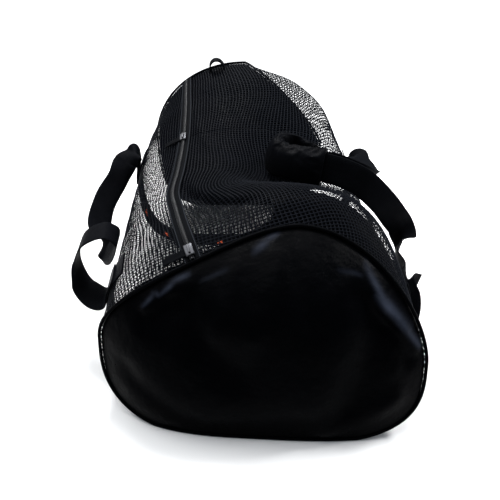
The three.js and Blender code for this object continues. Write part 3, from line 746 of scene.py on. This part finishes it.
def mix_colour(tree, factor, low, high, before=None):
    """Between two colours, or from what the socket before gives"""
    made = node(tree, "ShaderNodeMix", data_type="RGBA")
    tree.links.new(factor, made.inputs["Factor"])
    if before is None:
        made.inputs["A"].default_value = (*low, 1)
    else:
        tree.links.new(before, made.inputs["A"])
    made.inputs["B"].default_value = (*high, 1)
    return made.outputs["Result"]


def spread(tree, value, low, high, from_low=0.3, from_high=0.7):
    made = node(tree, "ShaderNodeMapRange")
    tree.links.new(value, made.inputs["Value"])
    for key, number in (("From Min", from_low), ("From Max", from_high), ("To Min", low), ("To Max", high)):
        made.inputs[key].default_value = number
    return made.outputs["Result"]


def net_material():
    """Coated net: dark strands with a faint cool glint"""
    material, tree, shader = new_material("net", (0.008, 0.0092, 0.012), 0.4, specular_ior_level=NET_GLOSS)
    place = object_place(tree)
    worn = noise(tree, place, 14.0)
    colour = mix_colour(tree, worn, (0.0022, 0.0027, 0.004), (0.004, 0.0048, 0.007))
    tree.links.new(colour, shader.inputs["Base Color"])
    tree.links.new(spread(tree, worn, 0.36, 0.5), shader.inputs["Roughness"])
    add_bump(tree, shader, noise(tree, place, 900.0, 1.0), 0.0002, 0.4)
    return material


def stitch_row(tree, across, along, away):
    """1 on the stitches of a row on each side of the middle"""
    line = math_node(tree, "COMPARE", math_node(tree, "ABSOLUTE", across), away, STITCH_HALF)
    thread = math_node(tree, "GREATER_THAN", wave(tree, along, STITCH_PITCH), STITCH_SHARE)
    return math_node(tree, "MULTIPLY", line, thread)


def cloth_material(name, base, worn_base, roughness, sheen, tint, thread, pucker, painted_light=None, stitched=None):
    """Woven cloth on uv in metres, painted paler on its folds as painted highlights where the mesh's fold
    attribute is set. stitched is how far from its middle it has a row of thread on each side."""
    material, tree, shader = new_material(name, base, roughness, sheen_weight=sheen, sheen_roughness=0.35,
                                          specular_ior_level=WOVEN_GLOSS)
    shader.inputs["Sheen Tint"].default_value = (*tint, 1)
    across, along = uv_axes(tree)
    weave = math_node(tree, "MULTIPLY", wave(tree, across, thread), wave(tree, along, thread))
    place = object_place(tree)
    worn = noise(tree, place, 22.0, 5.0)
    colour = mix_colour(tree, worn, base, worn_base)
    # Painted highlight: where the fold attribute is set, the base colour is mixed towards the paler colour,
    # broken up by the noise
    if painted_light:
        fold = node(tree, "ShaderNodeAttribute", attribute_name="fold").outputs["Fac"]
        fold = math_node(tree, "MULTIPLY", fold, spread(tree, worn, 0.35, 1.0))
        colour = mix_colour(tree, fold, None, painted_light, colour)
    if stitched:
        colour = mix_colour(tree, stitch_row(tree, across, along, stitched), None, PALE_THREAD, colour)
    tree.links.new(colour, shader.inputs["Base Color"])
    tree.links.new(spread(tree, worn, roughness - 0.06, roughness + 0.08), shader.inputs["Roughness"])
    soft = add_bump(tree, None, noise(tree, place, 38.0, 4.0), pucker)
    add_bump(tree, shader, weave, 0.00012, 0.6, soft)
    return material


def webbing_material(name="webbing", stitched=False):
    """Ribbed webbing on uv in metres, across and along, with edge stitching where it is sewn down"""
    base, thread = (0.002, 0.0022, 0.003), (0.008, 0.009, 0.012)
    material, tree, shader = new_material(name, base, 0.5, sheen_weight=0.003, sheen_roughness=0.5,
                                          specular_ior_level=WOVEN_GLOSS)
    shader.inputs["Sheen Tint"].default_value = (*STRAP_TINT, 1)
    across, along = uv_axes(tree)
    side = math_node(tree, "ABSOLUTE", across)
    slant = math_node(tree, "MULTIPLY_ADD", side, 0.6, along)
    rib = math_node(tree, "MULTIPLY", wave(tree, slant, 0.0016), wave(tree, across, 0.0025))
    place = object_place(tree)
    worn = noise(tree, place, 30.0, 4.0)
    colour = mix_colour(tree, worn, (0.0012, 0.0013, 0.0018), (0.003, 0.0034, 0.0045))
    height = rib
    if stitched:
        stitch = stitch_row(tree, across, along, GIRTH_STITCH)
        colour = mix_colour(tree, stitch, None, thread, colour)
        height = math_node(tree, "MULTIPLY_ADD", stitch, 1.5, rib)
    tree.links.new(colour, shader.inputs["Base Color"])
    soft = add_bump(tree, None, noise(tree, place, 45.0), 0.0012)
    add_bump(tree, shader, height, 0.0004, 0.8, soft)
    return material


def plain_material(name, base, roughness, metallic=0.0, grain=0.0, gloss=0.5):
    material, tree, shader = new_material(name, base, roughness, metallic=metallic, specular_ior_level=gloss)
    place = object_place(tree)
    worn = noise(tree, place, 120.0, 4.0)
    rough = spread(tree, worn, roughness * 0.8, min(1.0, roughness * 1.25))
    tree.links.new(rough, shader.inputs["Roughness"])
    if grain:
        add_bump(tree, shader, worn, grain)
    return material


NET = net_material()
# The nylon's last colour is the painted highlight on its folds
NYLON = cloth_material("nylon", (0.0003, 0.0004, 0.0006), (0.0009, 0.001, 0.0014), 0.27, 0.0003,
                       (0.45, 0.55, 0.85), 0.0007, 0.0022, painted_light=(0.035, 0.042, 0.062))
PIPING = cloth_material("piping", (0.0006, 0.0007, 0.0009), (0.0014, 0.0016, 0.0022), 0.4, 0.0003,
                        COOL_TINT, 0.0006, 0.0006)
TAPE = cloth_material("zip_tape", (0.001, 0.0012, 0.0016), (0.003, 0.0034, 0.0044), 0.55, 0.0004,
                      COOL_TINT, 0.0009, 0.0003, stitched=TAPE_STITCH)
WRAP = cloth_material("wrap_nylon", (0.001, 0.0011, 0.0015), (0.0025, 0.0028, 0.0038), 0.4, 0.001,
                      STRAP_TINT, 0.0009, 0.0016)
WEBBING = webbing_material()
SEWN_WEBBING = webbing_material("webbing_sewn", stitched=True)
COIL = plain_material("zip_coil", (0.006, 0.0065, 0.008), 0.34, grain=0.0001, gloss=COIL_GLOSS)
METAL = plain_material("slider_metal", (0.05, 0.051, 0.056), 0.25, metallic=1.0, grain=0.00004)
BLACK_THREAD = plain_material("thread_black", (0.015, 0.016, 0.02), 0.5)
RED_THREAD = plain_material("thread_red", (0.9, 0.13, 0.035), 0.5)


# The net barrel, as real strands
def zip_slot(ats):
    middle = zip_turn(ats)
    half = SLOT_WIDTH / 2 * turn_per_mm(middle, ats)
    return middle + half, 1 + middle - half


def net_places():
    """Turns and places of the net's crossings: evenly spread columns, rows at one pitch"""
    ats = np.linspace(0, 1, 181)
    first, last = zip_slot(ats)
    fine = np.linspace(0, 1, 481)
    turns = first[:, None] + (last - first)[:, None] * fine
    points = body_point(turns, np.broadcast_to(ats[:, None], turns.shape))
    steps = np.linalg.norm(np.diff(points, axis=1), axis=-1)
    share = np.concatenate([np.zeros((len(ats), 1)), np.cumsum(steps, axis=1)], axis=1)
    share /= share[:, -1:]
    even = np.linspace(0, 1, NET_AROUND + 1)
    columns = np.stack([np.interp(even, share[k], turns[k]) for k in range(len(ats))])
    lines = body_point(columns, np.broadcast_to(ats[:, None], columns.shape))
    rows = int(BAG_LENGTH * NET_SPARE_LENGTH / NET_PITCH)
    places = np.empty((rows + 1, NET_AROUND + 1))
    real = np.empty(places.shape, bool)
    for c in range(NET_AROUND + 1):
        away = lengths_along(lines[::-1, c])
        start = PANEL_INSET
        end = away[-1] - PANEL_INSET
        wanted = start + np.arange(rows + 1) * NET_PITCH
        real[:, c] = wanted < end
        places[:, c] = 1 - np.interp(np.minimum(wanted, end), away, 1 - ats[::-1])
    keep = real.any(axis=1)
    count = keep.sum() + 1
    places, real = places[:count], real[:count]
    turns = np.empty_like(places)
    for c in range(NET_AROUND + 1):
        turns[:, c] = np.interp(places[:, c], ats, columns[:, c])
    cell = (last - first).mean() / NET_AROUND
    fade = np.sin(np.pi * even) ** 0.5
    sway = np.sin(2 * np.pi * (2 * turns + 2.6 * places))
    sway = sway + 0.6 * np.sin(2 * np.pi * (5 * turns - 3.4 * places) + 1)
    return turns + NET_DRIFT * cell * fade * sway, places, real


def net_dip(turn, at):
    """How far the net sinks in: its folds, and ripples between its seams"""
    dip = np.zeros(turn.shape)
    here = body_point(turn, at)
    for from_turn, from_at, to_turn, to_at, wide, deep in NET_FOLDS:
        start = body_point(np.float64(from_turn), np.float64(from_at))
        line = body_point(np.float64(to_turn), np.float64(to_at)) - start
        share = np.clip(((here - start) @ line) / (line @ line), 0, 1)
        bend = NET_FOLD_BEND * np.sin(np.pi * share)[..., None] * np.cross(line, [0, 0, 1])
        away = np.linalg.norm(here - start - share[..., None] * line - bend, axis=-1) / wide
        dip += deep * np.sin(np.pi * np.clip(share, NET_FOLD_END, 1 - NET_FOLD_END)) * np.exp(-away * away)
    ripple = np.sin(2 * np.pi * (9 * turn + 4 * at)) * np.sin(2 * np.pi * (3 * turn - 7 * at))
    from_far = np.clip((1 - at) / NET_FAR_FADE, 0, 1)
    from_near = np.clip((at - NET_NEAR_FADE) / NET_NEAR_FADE, 0, 1)
    clear_of_tuck = np.clip((at - RIPPLE_FROM) / RIPPLE_FADE, 0, 1)
    return from_far * (dip * from_near + NET_RIPPLE * (1 + ripple) * clear_of_tuck)


def add_net():
    turns, places, real = net_places()
    middle = lifted(turns, places, -MESH_WALL / 2 - net_dip(turns, places))
    shift = np.random.default_rng(NET_SEED).uniform(-NET_JITTER, NET_JITTER, middle.shape)
    middle[1:-1, 1:-1] += (shift * real[..., None])[1:-1, 1:-1]
    normal = body_normal(turns, places)
    rows, columns = turns.shape
    cells = [(k, c) for k in range(rows - 1) for c in range(columns - 1) if real[k, c] or real[k, c + 1]]
    cells = np.array(cells)
    bands = np.array_split(cells, NET_BANDS)
    inset = NET_STRAND / 2 / NET_PITCH
    for number, band in enumerate(bands, start=1):
        k, c = band[:, 0], band[:, 1]
        corner = k * columns + c
        corners = np.stack([corner, corner + 1, corner + columns + 1, corner + columns], -1)
        used, index = np.unique(corners, return_inverse=True)
        index = index.reshape(corners.shape)
        flat = middle.reshape(-1, 3)[used]
        out = normal.reshape(-1, 3)[used]
        top = flat + out * NET_THICK / 2
        low = flat - out * NET_THICK / 2
        square = flat[index]
        across = np.roll(square, -1, axis=1) - square
        back = np.roll(square, 1, axis=1) - square
        holes = square + inset * (across + back)
        n = len(used)
        hole = 2 * n + np.arange(len(band) * 4).reshape(-1, 4)
        after = np.roll(index, -1, axis=1)
        hole_after = np.roll(hole, -1, axis=1)
        upper = np.stack([index, after, hole_after, hole], -1).reshape(-1, 4)
        lower = np.stack([after + n, index + n, hole, hole_after], -1).reshape(-1, 4)
        points = np.concatenate([top, low, holes.reshape(-1, 3)])
        edges = np.stack([index, after], -1).reshape(-1, 2)
        _, place, uses = np.unique(np.sort(edges, axis=1), axis=0, return_index=True, return_counts=True)
        rim = edges[place[uses == 1]]
        rim_faces = np.stack([rim[:, 1], rim[:, 0], rim[:, 0] + n, rim[:, 1] + n], -1)
        faces = np.concatenate([upper, lower, rim_faces])
        uvs = points[faces.ravel()][:, :2] * MM
        obj = add_mesh(f"net_{number}", points, faces.tolist(), uvs, NET, "mesh_body")


# The end panels
def fold_place(fold, x, z):
    """The share along a fold's line, and how much of the fold is left this far from it"""
    from_across, from_up, to_across, to_up, wide, _ = fold
    start = np.array([from_across * HALF_WIDTH, from_up * BAG_HEIGHT])
    line = np.array([to_across * HALF_WIDTH, to_up * BAG_HEIGHT]) - start
    share = np.clip(((x - start[0]) * line[0] + (z - start[1]) * line[1]) / (line @ line), 0, 1)
    away = np.hypot(x - start[0] - share * line[0], z - start[1] - share * line[1]) / (wide * HALF_WIDTH)
    return share, np.exp(-away * away)


def fold_height(folds, x, z):
    return sum(fold[-1] * BAG_HEIGHT * fold_place(fold, x, z)[1] for fold in folds)


# How strong the painted highlight is at each place on a panel, tapering towards each fold's ends
def painted_highlight_strength(folds, x, z):
    strength = np.zeros(np.shape(x))
    for fold in folds:
        share, left = fold_place(fold, x, z)
        strength = np.maximum(strength, fold[-1] * np.sin(np.pi * share) ** HIGHLIGHT_TAPER * left)
    return strength


def disc_point(turn, out, end):
    """A panel from its middle at 0 out to its seam at 1"""
    near = end == "near"
    rim = lifted(turn, np.full(np.shape(turn), 0.0 if near else 1.0), np.full(np.shape(turn), -PANEL_INSET))
    across = PANEL_MIDDLE_ACROSS * HALF_WIDTH if near else 0
    up = (PANEL_MIDDLE_UP if near else FAR_MIDDLE_UP) * BAG_HEIGHT
    x = across + (rim[..., 0] - across) * out
    z = up + (rim[..., 2] - up) * out
    creases, folds = (NEAR_CREASES, NEAR_FOLDS) if near else (FAR_CREASES, FAR_FOLDS)
    bulge = (NEAR_BULGE if near else FAR_BULGE) * (1 - out * out)
    bulge = bulge - fold_height(creases, x, z) * (1 - out**CREASE_FADE)
    bulge = bulge - fold_height(folds, x, z) * (1 - out**FOLD_FADE)
    if not near:
        return np.stack([x, BAG_LENGTH + (rim[..., 1] - BAG_LENGTH) * out + bulge, z], -1)

    def lean(px, pz):
        return LEAN_SLOPE * pz - NEAR_SKEW * px / HALF_WIDTH

    edge = (rim[..., 1] - lean(rim[..., 0], rim[..., 2])) * out**PANEL_FLAP_POWER
    return np.stack([x, lean(x, z) + edge - bulge, z], -1)


def tuck_point(turn, back):
    away = (turn - TUCK_TURN) / TUCK_SPREAD
    share = np.exp(-(away**4))
    skewed = turn - TUCK_SKEW * share * back
    at = back * (TUCK_HEM * at_per_mm(turn, 0.0) + TUCK_REACH * share)
    return lifted(skewed, at, -PANEL_INSET - back * share * TUCK_DROP)


def add_panel(end, disc_rows=90, tuck_rows=16, steps=300):
    turn = np.linspace(-0.5, 0.5, steps + 1)[None, :]
    out = np.linspace(0, 1, disc_rows + 1)[:, None]
    turns, outs = np.broadcast_arrays(turn, out)
    grid = disc_point(turns, outs, end)
    if end == "near":
        back = np.linspace(0, 1, tuck_rows + 1)[1:, None]
        turns, backs = np.broadcast_arrays(turn, back)
        grid = np.concatenate([grid, tuck_point(turns, backs)])
    else:
        grid = grid[:, ::-1]
    uv = grid[..., [0, 2]] * MM
    name = f"end_panel_{end}"
    obj = add_sheet(f"nylon_panel_{end}", grid, uv, NYLON, name, PANEL_WALL, loops=True)
    places = np.array([v.co[:] for v in obj.data.vertices])
    places = (places - SHIFT) / MM
    # The painted highlights go into the fold attribute
    painted_light = painted_highlight_strength(PAINTED_FOLD_HIGHLIGHTS[end], places[:, 0], places[:, 2])
    # Painted light: the far panel is painted paler all over
    if end == "far":
        painted_light = np.maximum(painted_light, FAR_PAINTED_LIGHT)
    layer = obj.data.attributes.new("fold", "FLOAT", "POINT")
    layer.data.foreach_set("value", painted_light.astype(np.float32))


# Piping, straps and zip
def add_piping(end):
    at = 0.0 if end == "near" else 1.0
    steps, sides = 360, 14
    turn = np.arange(steps) / steps
    out = body_normal(turn, at)
    out[:, 1] = 0
    out = unit(out)
    angle = 2 * np.pi * np.arange(sides) / sides
    ring = body_point(turn, at)[:, None] + PIPING_RADIUS * np.cos(angle)[None, :, None] * out[:, None]
    ring[..., 1] += PIPING_RADIUS * np.sin(angle)
    along = lengths_along(ring[:, 0]) * MM
    add_sweep(f"binding_{end}", ring, angle * PIPING_RADIUS * MM, along, PIPING, f"piping_{end}",
              closed=True)


def add_girth_strap(end, middle_at):
    turn = np.linspace(STRAP_END, STATIONS - STRAP_END, 241) / STATIONS
    at = np.full(turn.shape, middle_at)
    profile = band_profile(WEBBING_WIDTH, WEBBING_THICK)
    off = profile[None, :, 0] * at_per_mm(turn, at)[:, None]
    out = SEAM_GAP + WEBBING_THICK / 2 + profile[None, :, 1]
    grid = lifted(turn[:, None] + 0 * off, at[:, None] + off, np.broadcast_to(out, off.shape))
    along = lengths_along(body_point(turn, at)) * MM
    add_sweep(f"webbing_girth_{end}", grid, profile[:, 0] * MM, along, SEWN_WEBBING, f"girth_strap_{end}")


def add_handle(side, rows):
    share = np.linspace(0, 1, 401)
    middle, wide, face = handle_run(rows)(share)
    profile = band_profile(WEBBING_WIDTH, WEBBING_THICK)
    grid = middle[:, None] + wide[:, None] * profile[None, :, :1] + face[:, None] * profile[None, :, 1:]
    along = lengths_along(middle) * MM
    add_sweep(f"webbing_handle_{side}", grid, profile[:, 0] * MM, along, WEBBING, f"handle_{side}")


def zip_line(count, first=0.0, last=1.0):
    inset_first, inset_last = (float(seam_inset(zip_turn(end), end)) for end in (0.0, 1.0))
    share = np.linspace(first, last, count)
    at = inset_first + (1 - inset_last - inset_first) * share
    return zip_turn(at), at


def add_zip_tape(side, sign):
    turn, at = zip_line(241)
    profile = band_profile(TAPE_WIDTH, TAPE_THICK, edge_steps=3)
    middle = sign * (TAPE_PART / 2 + TAPE_WIDTH / 2)
    shifted = profile + np.array([middle, 0])
    grid_turn = turn[:, None] + shifted[None, :, 0] * turn_per_mm(turn, at)[:, None]
    grid = lifted(grid_turn, np.broadcast_to(at[:, None], grid_turn.shape),
                  SEAM_GAP + TAPE_THICK / 2 + np.broadcast_to(profile[None, :, 1], grid_turn.shape))
    along = lengths_along(body_point(turn, at)) * MM
    add_sweep(f"tape_{side}", grid, profile[:, 0] * MM, along, TAPE, f"zip_tape_{side}")


def add_zip_teeth():
    """The coil: one bent tooth after another, from the left and the right in turn"""
    turn, at = zip_line(241)
    length = lengths_along(body_point(turn, at))
    count = int(length[-1] / TOOTH_PITCH)
    at_tooth = np.interp((np.arange(count) + 0.5) * TOOTH_PITCH, length, at)
    base = np.full(count, 2 * SEAM_GAP + TAPE_THICK)

    def on_zip(at):
        return lifted(zip_turn(at), at, base)

    centre = on_zip(at_tooth)
    out = body_normal(zip_turn(at_tooth), at_tooth)
    along = unit(on_zip(np.minimum(1, at_tooth + STEP)) - on_zip(at_tooth - STEP))
    right = np.cross(along, out)
    angle = np.linspace(0, math.pi, 7)[:, None]
    arc_across = -np.cos(angle) * COIL_WIDTH / 2 * TOOTH_REACH
    arc_up = TOOTH_BASE + np.maximum(0, np.sin(angle)) ** 0.6 * (COIL_HEIGHT - TOOTH_SINK)
    turns = (2 * np.pi * np.arange(6) / 6)[None, :, None]
    teeth = []
    for k in range(count):
        sign = 1 if k % 2 == 0 else -1
        middle = centre[k] + right[k] * arc_across * sign + out[k] * arc_up
        up = np.cross(unit(np.gradient(middle, axis=0)), along[k])[:, None]
        ring = TOOTH_RADIUS * (np.cos(turns) * along[k] + np.sin(turns) * up * TOOTH_FLAT)
        teeth.append(middle[:, None] + ring)
    add_tubes("zip_teeth", teeth, COIL, "zip_coil")


def slider_place(share):
    turn = zip_turn(share)
    up = body_normal(turn, share)
    along = unit(lifted(zip_turn(share + 0.01), share + 0.01, 0) - lifted(turn, share, 0))
    right = unit(np.cross(up, along))
    seat = lifted(turn, share, 2 * SEAM_GAP + TAPE_THICK + SLIDER_SEAT)
    return seat, right, up, along


def add_slider(end, share):
    """A rounded body over the coil with cheeks at its sides and a bridge for the pull"""
    seat, right, up, along = slider_place(np.float64(share))
    made = bmesh.new()
    high = COIL_HEIGHT + SLIDER_GAP

    def block(low, top, round_by):
        box = bmesh.ops.create_cube(made, size=1)["verts"]
        for v in box:
            for axis in range(3):
                v.co[axis] = low[axis] + (v.co[axis] + 0.5) * (top[axis] - low[axis])
        edges = list({e for v in box for e in v.link_edges})
        bmesh.ops.bevel(made, geom=edges, offset=round_by, segments=3, profile=0.5, affect="EDGES")

    half = SLIDER_WIDTH / 2
    inner = COIL_WIDTH / 2 + SLIDER_GAP
    long = SLIDER_LENGTH / 2
    top = high + SLIDER_WALL
    block((-half, high, -long), (half, top, long), ROUND_BODY)
    for sign in (-1, 1):
        ends = sorted((sign * inner, sign * half))
        block((ends[0], 0, -long), (ends[1], high + CHEEK_RISE, long), ROUND_CHEEK)
    for first, last in ((-POST_OUT, -POST_IN), (POST_IN, POST_OUT)):
        block((-BRIDGE_HALF, top - BRIDGE_SINK, long * first), (BRIDGE_HALF, top + POST_RISE, long * last),
              ROUND_BRIDGE)
    reach = long * POST_OUT
    block((-BRIDGE_HALF, top + BRIDGE_LOW, -reach), (BRIDGE_HALF, top + BRIDGE_HIGH, reach), ROUND_BRIDGE)
    points = np.array([seat + right * x + up * y + along * z for x, y, z in (v.co for v in made.verts)])
    made.verts.index_update()
    faces = [[v.index for v in face.verts] for face in made.faces]
    made.free()
    face_out(add_mesh(f"slider_{end}", points, faces, None, METAL, f"zip_slider_{end}", 40))


def add_pull(end, at):
    start = SLIDER_WIDTH / 2 + SEAM_GAP
    lift = 2 * SEAM_GAP + TAPE_THICK + PULL_THICK / 2
    profile = band_profile(PULL_WIDTH, PULL_THICK, flat_steps=4)
    row = np.linspace(0, 1, 33)
    across = -(start + row * PULL_LENGTH)
    place = at + profile[None, :, 0] * float(at_per_mm(zip_turn(at), at)) + 0 * across[:, None]
    middle = zip_turn(place)
    turn = middle + across[:, None] * turn_per_mm(middle, place)
    grid = lifted(turn, place, lift + np.broadcast_to(profile[None, :, 1], turn.shape))
    add_sweep(f"pull_tab_{end}", grid, profile[:, 0] * MM, row * PULL_LENGTH * MM, WEBBING, f"zip_pull_{end}")


def add_end_loop():
    turn = turn_across(LOOP_ACROSS, np.float64(1))
    at = 1 - seam_inset(turn, 1.0) - LOOP_WIDTH / 2 * at_per_mm(turn, 1.0)
    up = body_normal(turn, at)
    along = unit(np.array([0, 1, 0]) - up * up[1])
    right = np.cross(along, up)
    profile = band_profile(LOOP_WIDTH, LOOP_THICK, flat_steps=4)
    angle = np.linspace(0, math.pi, 49)
    thick = profile[:, 1] - LOOP_THICK / 2
    foot = lifted(turn, at, LOOP_SEAT)
    grid = foot + right * (-(LOOP_SPAN / 2 + thick)[None, :, None] * np.cos(angle)[:, None, None])
    grid = grid + up * ((LOOP_RISE + thick)[None, :, None] * np.sin(angle)[:, None, None])
    grid = grid + along * profile[None, :, :1]
    along_loop = lengths_along(grid[:, 0]) * MM
    add_sweep("grab_loop", grid, profile[:, 0] * MM, along_loop, WEBBING, "end_loop")


# The padded grip: its outside swells as cloth under pressure, round a slot for the webbing
def grip_ring(pad, square, rows, steps):
    row = np.linspace(0, 1, rows + 1)
    middle, wide, face = handle_run(RIGHT_HANDLE)((WRAP_FIRST_STEP + row * WRAP_STEPS) / HANDLE_STEPS)
    angle = 2 * np.pi * np.arange(steps) / steps
    c, s = np.cos(angle)[None, :, None], np.sin(angle)[None, :, None]
    crown = (1 - WRAP_TAPER * (2 * row - 1) ** 4)[:, None, None]
    reach = 1 / np.maximum(np.abs(c), np.abs(s)) if square else 1
    half_wide = WEBBING_WIDTH / 2 + WRAP_GAP + pad * WRAP_SIDE_PAD
    half_thick = WEBBING_THICK / 2 + WRAP_GAP + pad * WRAP_FACE_PAD * crown
    grid = middle[:, None] + wide[:, None] * half_wide * c * reach + face[:, None] * half_thick * s * reach
    return grid, middle


def swell(grid):
    """Lets the sleeve's outside swell as cloth held at its ends and seam, and gives back its points"""
    rows, steps = grid.shape[:2]
    faces = tube_faces(rows, steps)
    mesh = bpy.data.meshes.new("swelling")
    mesh.from_pydata(grid.reshape(-1, 3) * MM + SHIFT, [], faces.tolist())
    obj = link_object("swelling", mesh)
    scene = bpy.context.scene
    pinned = obj.vertex_groups.new(name="ends")
    pinned.add(list(range(steps)) + list(range((rows - 1) * steps, rows * steps)), 1.0, "REPLACE")
    seam = [k * steps for k in range(rows)]
    pinned.add(seam, 1.0, "REPLACE")
    cloth = obj.modifiers.new("cloth", "CLOTH")
    cloth.settings.use_pressure = True
    cloth.settings.uniform_pressure_force = GRIP_PRESSURE
    cloth.settings.vertex_group_mass = "ends"
    cloth.settings.effector_weights.gravity = 0
    cloth.settings.tension_stiffness = GRIP_TENSION
    cloth.settings.bending_stiffness = GRIP_BENDING
    cloth.settings.shrink_min = GRIP_SHRINK
    for frame_number in range(1, GRIP_FRAMES + 1):
        scene.frame_set(frame_number)
    seen = obj.evaluated_get(bpy.context.evaluated_depsgraph_get())
    count = rows * steps
    found = np.empty(count * 3, np.float32)
    seen.to_mesh().vertices.foreach_get("co", found)
    found = (found.reshape(-1, 3) - SHIFT) / MM
    seen.to_mesh_clear()
    bpy.data.objects.remove(obj)
    scene.frame_set(1)
    moved = found - grid.reshape(-1, 3)
    far = np.linalg.norm(moved, axis=-1, keepdims=True)
    moved *= np.minimum(1, GRIP_CAP / np.maximum(far, 1e-9))
    return (grid.reshape(-1, 3) + moved).reshape(grid.shape)


def add_grip():
    rows, steps = 96, 56
    grid, middle = grip_ring(1, False, rows, steps)
    grid = swell(grid)
    slot, _ = grip_ring(0, True, rows, steps)
    body = np.concatenate([grid, slot[::-1]])
    around = np.linspace(0, 0.15, steps)
    along = lengths_along(middle) * MM
    along = np.concatenate([along, along[::-1] + 0.01])
    obj = add_sweep("padded_grip", body, around, along, WRAP, "handle_wrap", closed=True)


# Stitching that shows as thread
def add_thread(name, lines, radius, material):
    """Thread along lines of points in millimetres"""
    angle = (2 * np.pi * np.arange(THREAD_SIDES) / THREAD_SIDES)[None, :, None]
    tubes = []
    for line in lines:
        tangent = unit(np.gradient(line, axis=0))
        helper = np.array([0.0, 0.0, 1.0]) if abs(tangent[0, 2]) < 0.9 else np.array([1.0, 0.0, 0.0])
        first = unit(np.cross(tangent, helper))
        second = np.cross(tangent, first)
        ring = np.cos(angle) * first[:, None] + np.sin(angle) * second[:, None]
        tubes.append(line[:, None] + radius * ring)
    add_tubes(name, tubes, material, None)


def bartack_lines(turn, at, lift, size):
    """A sewn cross: two zigzag bars over one another, size long in millimetres"""
    per_turn = float(turn_per_mm(turn, at))
    per_at = float(at_per_mm(turn, at))
    lines = []
    step = np.linspace(-1, 1, BARTACK_STEPS)
    zig = np.where(np.arange(BARTACK_STEPS) % 2 == 0, 1.0, -1.0) * BARTACK_WIDTH / 2
    for lean in (-1, 1):
        across = step * size / 2 - lean * zig * BARTACK_SLANT
        along = lean * step * size / 2 + zig * BARTACK_SLANT
        lines.append(lifted(turn + across * per_turn, at + along * per_at, np.full(BARTACK_STEPS, lift)))
    return lines


def add_bartacks():
    lines = []
    for turn, at in BARTACKS:
        lines += bartack_lines(np.float64(turn), np.float64(at), -MESH_WALL - BARTACK_LIFT, BARTACK_SIZE)
    add_thread("bartacks_inside", lines, BARTACK_THREAD, RED_THREAD)


def add_anchor_stitches():
    """A sewn box with a cross in it where each handle's end lies on its girth strap"""
    lines = []
    size = WEBBING_WIDTH / 2 - ANCHOR_INSET
    long = ANCHOR_SHARE
    corners = [(-1, -long), (1, -long), (1, long), (-1, long), (-1, -long), (1, long), (1, -long), (-1, long)]
    for rows in (LEFT_HANDLE, RIGHT_HANDLE):
        run = handle_run(rows)
        for share in ANCHOR_PLACES:
            middle, wide, face = run(np.array([share]))
            out = body_normal(np.float64(rows[0][1]), np.float64(rows[0][0]))
            up = face[0] * (1 if face[0] @ out > 0 else -1)
            along = np.cross(up, wide[0])
            top = middle[0] + up * (WEBBING_THICK / 2 + ANCHOR_LIFT)
            path = np.array([top + wide[0] * a * size + along * b * size for a, b in corners])
            fine = np.concatenate([np.linspace(a, b, ANCHOR_STEPS)[:-1] for a, b in zip(path, path[1:])])
            lines.append(fine)
    add_thread("anchor_stitches", lines, ANCHOR_THREAD, BLACK_THREAD)


# Studio
def add_studio():
    floor_material = new_material("studio_floor", (0.96, 0.96, 0.96), 0.9)[0]
    floor = bpy.data.meshes.new("floor")
    size = 40
    corners = [(-size, -size, 0), (size, -size, 0), (size, size, 0), (-size, size, 0)]
    floor.from_pydata(corners, [], [(0, 1, 2, 3)])
    floor.materials.append(floor_material)
    link_object("floor", floor)
    for name, kind, place, width, power in STUDIO_LIGHTS:
        data = bpy.data.lights.new(name, kind)
        data.energy = power
        if kind == "SUN":
            data.angle = width
        else:
            data.shape = "SQUARE"
            data.size = width
        lamp = link_object(name, data)
        lamp.location = place
        lamp.rotation_euler = (Vector(LIGHT_AIM) - Vector(place)).to_track_quat("-Z", "Y").to_euler()
    world = bpy.data.worlds.new("studio")
    bpy.context.scene.world = world
    world.use_nodes = True
    world.node_tree.nodes["Background"].inputs["Color"].default_value = (*SKY_COLOUR, 1)
    world.node_tree.nodes["Background"].inputs["Strength"].default_value = SKY_STRENGTH
    bpy.context.scene.view_settings.view_transform = "Standard"


def add_camera():
    data = bpy.data.cameras.new("photo_camera")
    data.lens = CAMERA_LENS
    data.sensor_width = CAMERA_SENSOR
    camera = link_object("photo_camera", data)
    camera.location = CAMERA_PLACE
    camera.rotation_euler = (math.radians(90 - CAMERA_PITCH), 0, 0)
    bpy.context.scene.camera = camera


ENDS = ("near", "far")
add_net()
for end in ENDS:
    add_panel(end)
for end in ENDS:
    add_piping(end)
add_zip_tape("left", -1)
add_zip_tape("right", 1)
add_zip_teeth()
for add_part in (add_slider, add_pull):
    add_part("near", NEAR_SLIDER_AT)
    add_part("far", FAR_SLIDER_AT)
add_girth_strap("near", NEAR_GIRTH_AT)
add_girth_strap("far", FAR_GIRTH_AT)
add_handle("left", LEFT_HANDLE)
add_handle("right", RIGHT_HANDLE)
add_grip()
add_end_loop()
add_bartacks()
add_anchor_stitches()
add_studio()
add_camera()
